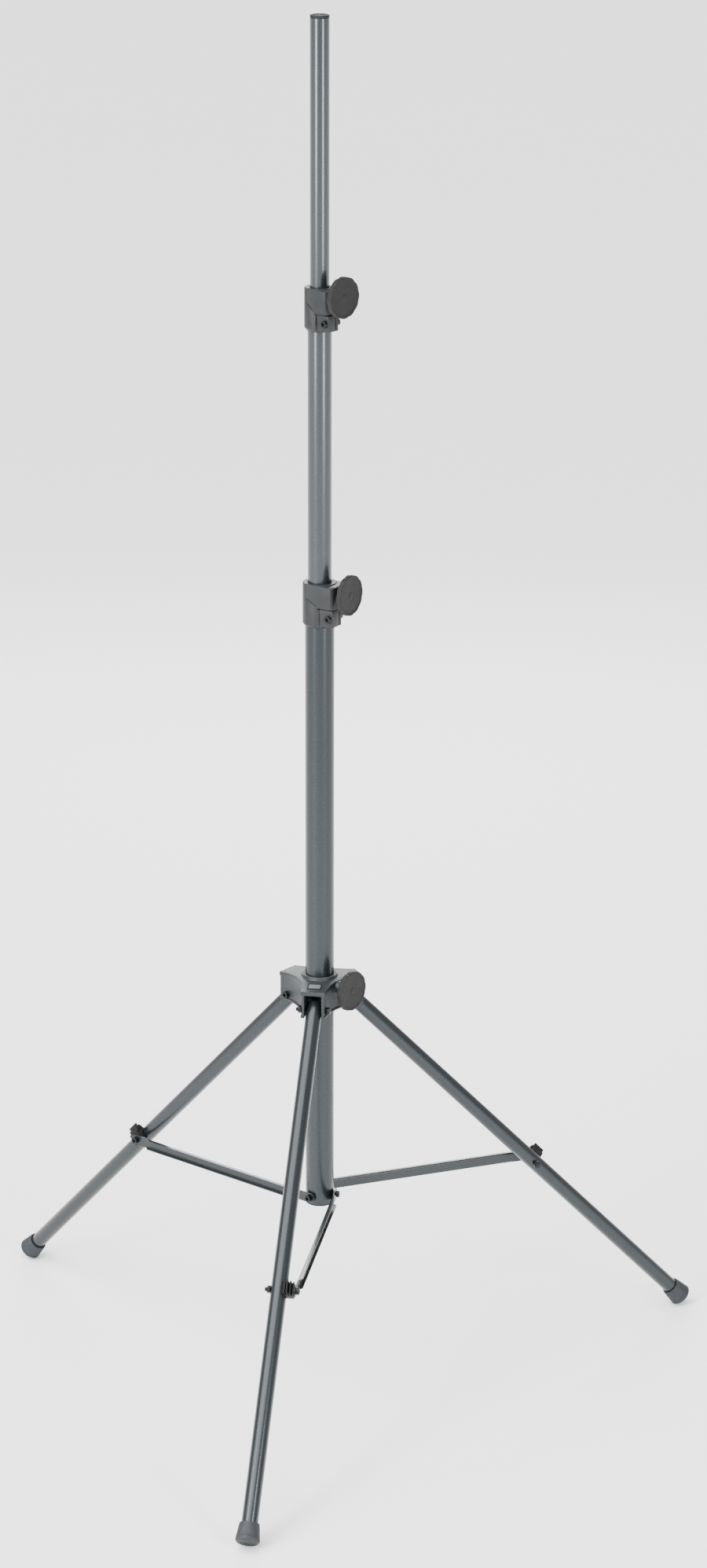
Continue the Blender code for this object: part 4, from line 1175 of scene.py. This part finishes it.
class STAND_OT_fasteners(bpy.types.Operator):
    """Make the bolts, nuts, washers and screws"""

    bl_idname = "stand.fasteners"
    bl_label = "Fasteners"

    def execute(self, context):
        for screw in ("upper", "lower"):
            matrix = screw_frame(screw)
            bolt = f"{screw}_pinch_bolt"
            nut = f"{screw}_pinch_nut"
            x = middle_along(bolt, matrix, 0)
            z = middle_along(bolt, matrix, 2)
            low, high = span_along(bolt, matrix, 1)
            seat = matrix @ Matrix.Translation((x, low + HEAD_HEIGHT, z))
            self.bolt(bolt, seat @ ALONG["-Y"], high - low - HEAD_HEIGHT, 0.0075)
            low, high = span_along(nut, matrix, 1)
            self.nut(nut, matrix @ Matrix.Translation((x, low, z)) @ ALONG["Y"], high - low)
        for leg in LEGS:
            self.leg_bolts(leg)
            self.brace_bolts(leg)
        return {"FINISHED"}

    def bolt(self, node, seat, grip, tail=0.0):
        made = socket_head(node + "_turned", seat, grip, tail)
        dress(soften(made, FASTENER_EDGE, 1), node, "black_steel", 40.0)

    def nut(self, node, seat, height):
        made = hex_nut(node + "_pressed", seat, height)
        dress(soften(made, FASTENER_EDGE, 1), node, "black_steel")

    def leg_bolts(self, leg):
        """The hinge bolt and nut in the casting, and the shank and nut of the brace joint."""
        matrix = leg_frame(leg)
        bolt = f"{leg}_pivot_bolt"
        low, high = span_along(bolt, matrix, 1)
        seat = matrix @ Matrix.Translation((0.0, high - HEAD_HEIGHT, 0.0)) @ ALONG["Y"]
        self.bolt(bolt, seat, high - low - HEAD_HEIGHT, 0.0120)
        bolt = f"{leg}_joint_bolt"
        low, high = span_along(bolt, matrix, 1)
        joint = matrix @ Matrix.Translation((middle_along(bolt, matrix, 0), 0.0, 0.0))
        profile = [(0.0, high), (BOLT_RADIUS, high), (BOLT_RADIUS, low + BOLT_TAIL + 0.0002)]
        profile += thread_profile(BOLT_RADIUS, BOLT_THREAD, low + BOLT_TAIL, low)
        profile += [(0.0, low)]
        dress(turned(bolt + "_turned", profile, joint @ ALONG["Y"], SMALL), bolt, "black_steel", 60.0)
        for nut, place in ((f"{leg}_pivot_nut", matrix), (f"{leg}_joint_nut", joint)):
            low, high = span_along(nut, matrix, 1)
            self.nut(nut, place @ Matrix.Translation((0.0, high, 0.0)) @ ALONG["-Y"], high - low)

    def brace_bolts(self, leg):
        """The screw and washer at the column, and the head of the brace joint's bolt."""
        matrix = brace_frame(leg)
        for node in (f"{leg}_brace_screw", f"{leg}_joint_bolt_head"):
            low, high = span_along(node, matrix, 1)
            place = (middle_along(node, matrix, 0), high - HEAD_HEIGHT, 0.0)
            self.bolt(node, matrix @ Matrix.Translation(place) @ ALONG["Y"], high - low - HEAD_HEIGHT)
        node = f"{leg}_brace_washer"
        low, high = span_along(node, matrix, 1)
        outer = WASHER_RADIUS
        profile = [(outer, high), (outer, low), (BOLT_BORE, low), (BOLT_BORE, high)]
        rounded = fillet(profile, 0.0003, 3, closed=True)
        washer = turned(node + "_stamped", rounded, matrix @ ALONG["Y"], FASTENER_STEPS, ring=True)
        dress(washer, node, "black_steel")


# ---- stage ----


class STAND_OT_stage(bpy.types.Operator):
    """Make the floor, the soft lights and the camera"""

    bl_idname = "stand.stage"
    bl_label = "Stage"

    def execute(self, context):
        stage = context.scene.stand_stage
        column = column_frame().translation
        bm = bmesh.new()
        bmesh.ops.create_grid(bm, x_segments=8, y_segments=8, size=60.0)
        floor = mesh_from("floor", bm, Matrix.Translation((column.x, column.y + 20.0, -0.0005)))
        look = Nodes("floor_finish")
        patch = look.between(look.noise(0.6, 3.0), 0.0, 1.0)
        look.set(
            Base_Color=look.tint(patch, shade(stage.floor, 0.99), tuple(stage.floor)),
            Roughness=look.between(look.noise(30.0, 2.0), 0.55, 0.62),
        )
        floor.data.materials.append(look.material)
        world = bpy.data.worlds.new("even_sky")
        world.use_nodes = True
        background = world.node_tree.nodes["Background"]
        background.inputs["Color"].default_value = (1.0, 1.0, 1.0, 1.0)
        background.inputs["Strength"].default_value = stage.sky
        context.scene.world = world
        self.overhead(stage.top_power)
        self.light("key", (-2.6, -4.2, 2.7), (0.8, 2.6), 1.7, stage.key_power)
        self.light("fill", (3.2, -2.8, 2.1), (0.3, 1.9), 1.7, stage.fill_power)
        self.light("back", (-0.8, 4.9, 2.75), (3.2, 1.2), 0.8, stage.back_power)
        self.camera(context, stage, column)
        return {"FINISHED"}

    def overhead(self, strength):
        """A very soft light from above, a little to the left and the front."""
        data = bpy.data.lights.new("top", "SUN")
        data.energy = strength
        data.angle = math.radians(70.0)
        lamp = bpy.data.objects.new("top", data)
        bpy.context.scene.collection.objects.link(lamp)
        lamp.rotation_euler = Vector((0.35, 0.35, -1.0)).to_track_quat("-Z", "Y").to_euler()

    def light(self, name, place, size, aim, power):
        """An upright soft light that looks at the column at the height of aim."""
        data = bpy.data.lights.new(name, "AREA")
        data.shape = "RECTANGLE"
        data.size, data.size_y = size
        data.energy = power
        lamp = bpy.data.objects.new(name, data)
        bpy.context.scene.collection.objects.link(lamp)
        column = column_frame(aim).translation
        lamp.location = Vector((column.x, column.y, 0.0)) + Vector(place)
        lamp.rotation_euler = (column - lamp.location).to_track_quat("-Z", "Y").to_euler()

    def camera(self, context, stage, column):
        data = bpy.data.cameras.new("camera")
        data.sensor_width = SENSOR
        data.lens = LENS
        data.shift_x = LENS_SHIFT
        data.clip_end = 200.0
        camera = bpy.data.objects.new("camera", data)
        context.scene.collection.objects.link(camera)
        away = Vector((math.cos(stage.camera_azimuth), math.sin(stage.camera_azimuth), 0.0))
        camera.location = Vector((column.x, column.y, stage.camera_height)) + away * stage.camera_distance
        look = -away * math.cos(stage.camera_pitch) - UP * math.sin(stage.camera_pitch)
        camera.rotation_euler = look.to_track_quat("-Z", "Y").to_euler()
        context.scene.camera = camera


# ---- add-on ----


OPERATORS = (
    STAND_OT_tubes,
    STAND_OT_column_ends,
    STAND_OT_glides,
    STAND_OT_clamps,
    STAND_OT_knobs,
    STAND_OT_leg_base,
    STAND_OT_feet,
    STAND_OT_spacers,
    STAND_OT_braces,
    STAND_OT_fasteners,
    STAND_OT_stage,
)


class STAND_PT_looks(bpy.types.Panel):
    """Lists the stand's settings and operators"""

    bl_idname = "STAND_PT_looks"
    bl_label = "Loudspeaker Stand"
    bl_space_type = "VIEW_3D"
    bl_region_type = "UI"
    bl_category = "Stand"

    def draw(self, context):
        column = self.layout.column()
        for group in (context.scene.stand_looks, context.scene.stand_stage):
            for name in group.bl_rna.properties.keys():
                if name not in {"rna_type", "name"}:
                    column.prop(group, name)
        for operator in OPERATORS:
            column.operator(operator.bl_idname)


CLASSES = (StandLooks, StandStage, *OPERATORS, STAND_PT_looks)


def register():
    for cls in CLASSES:
        bpy.utils.register_class(cls)
    bpy.types.Scene.stand_looks = bpy.props.PointerProperty(type=StandLooks)
    bpy.types.Scene.stand_stage = bpy.props.PointerProperty(type=StandStage)


def unregister():
    del bpy.types.Scene.stand_stage
    del bpy.types.Scene.stand_looks
    for cls in reversed(CLASSES):
        bpy.utils.unregister_class(cls)


def main():
    register()
    for operator in OPERATORS:
        group, name = operator.bl_idname.split(".")
        getattr(getattr(bpy.ops, group), name)()


if __name__ == "__main__":
    main()
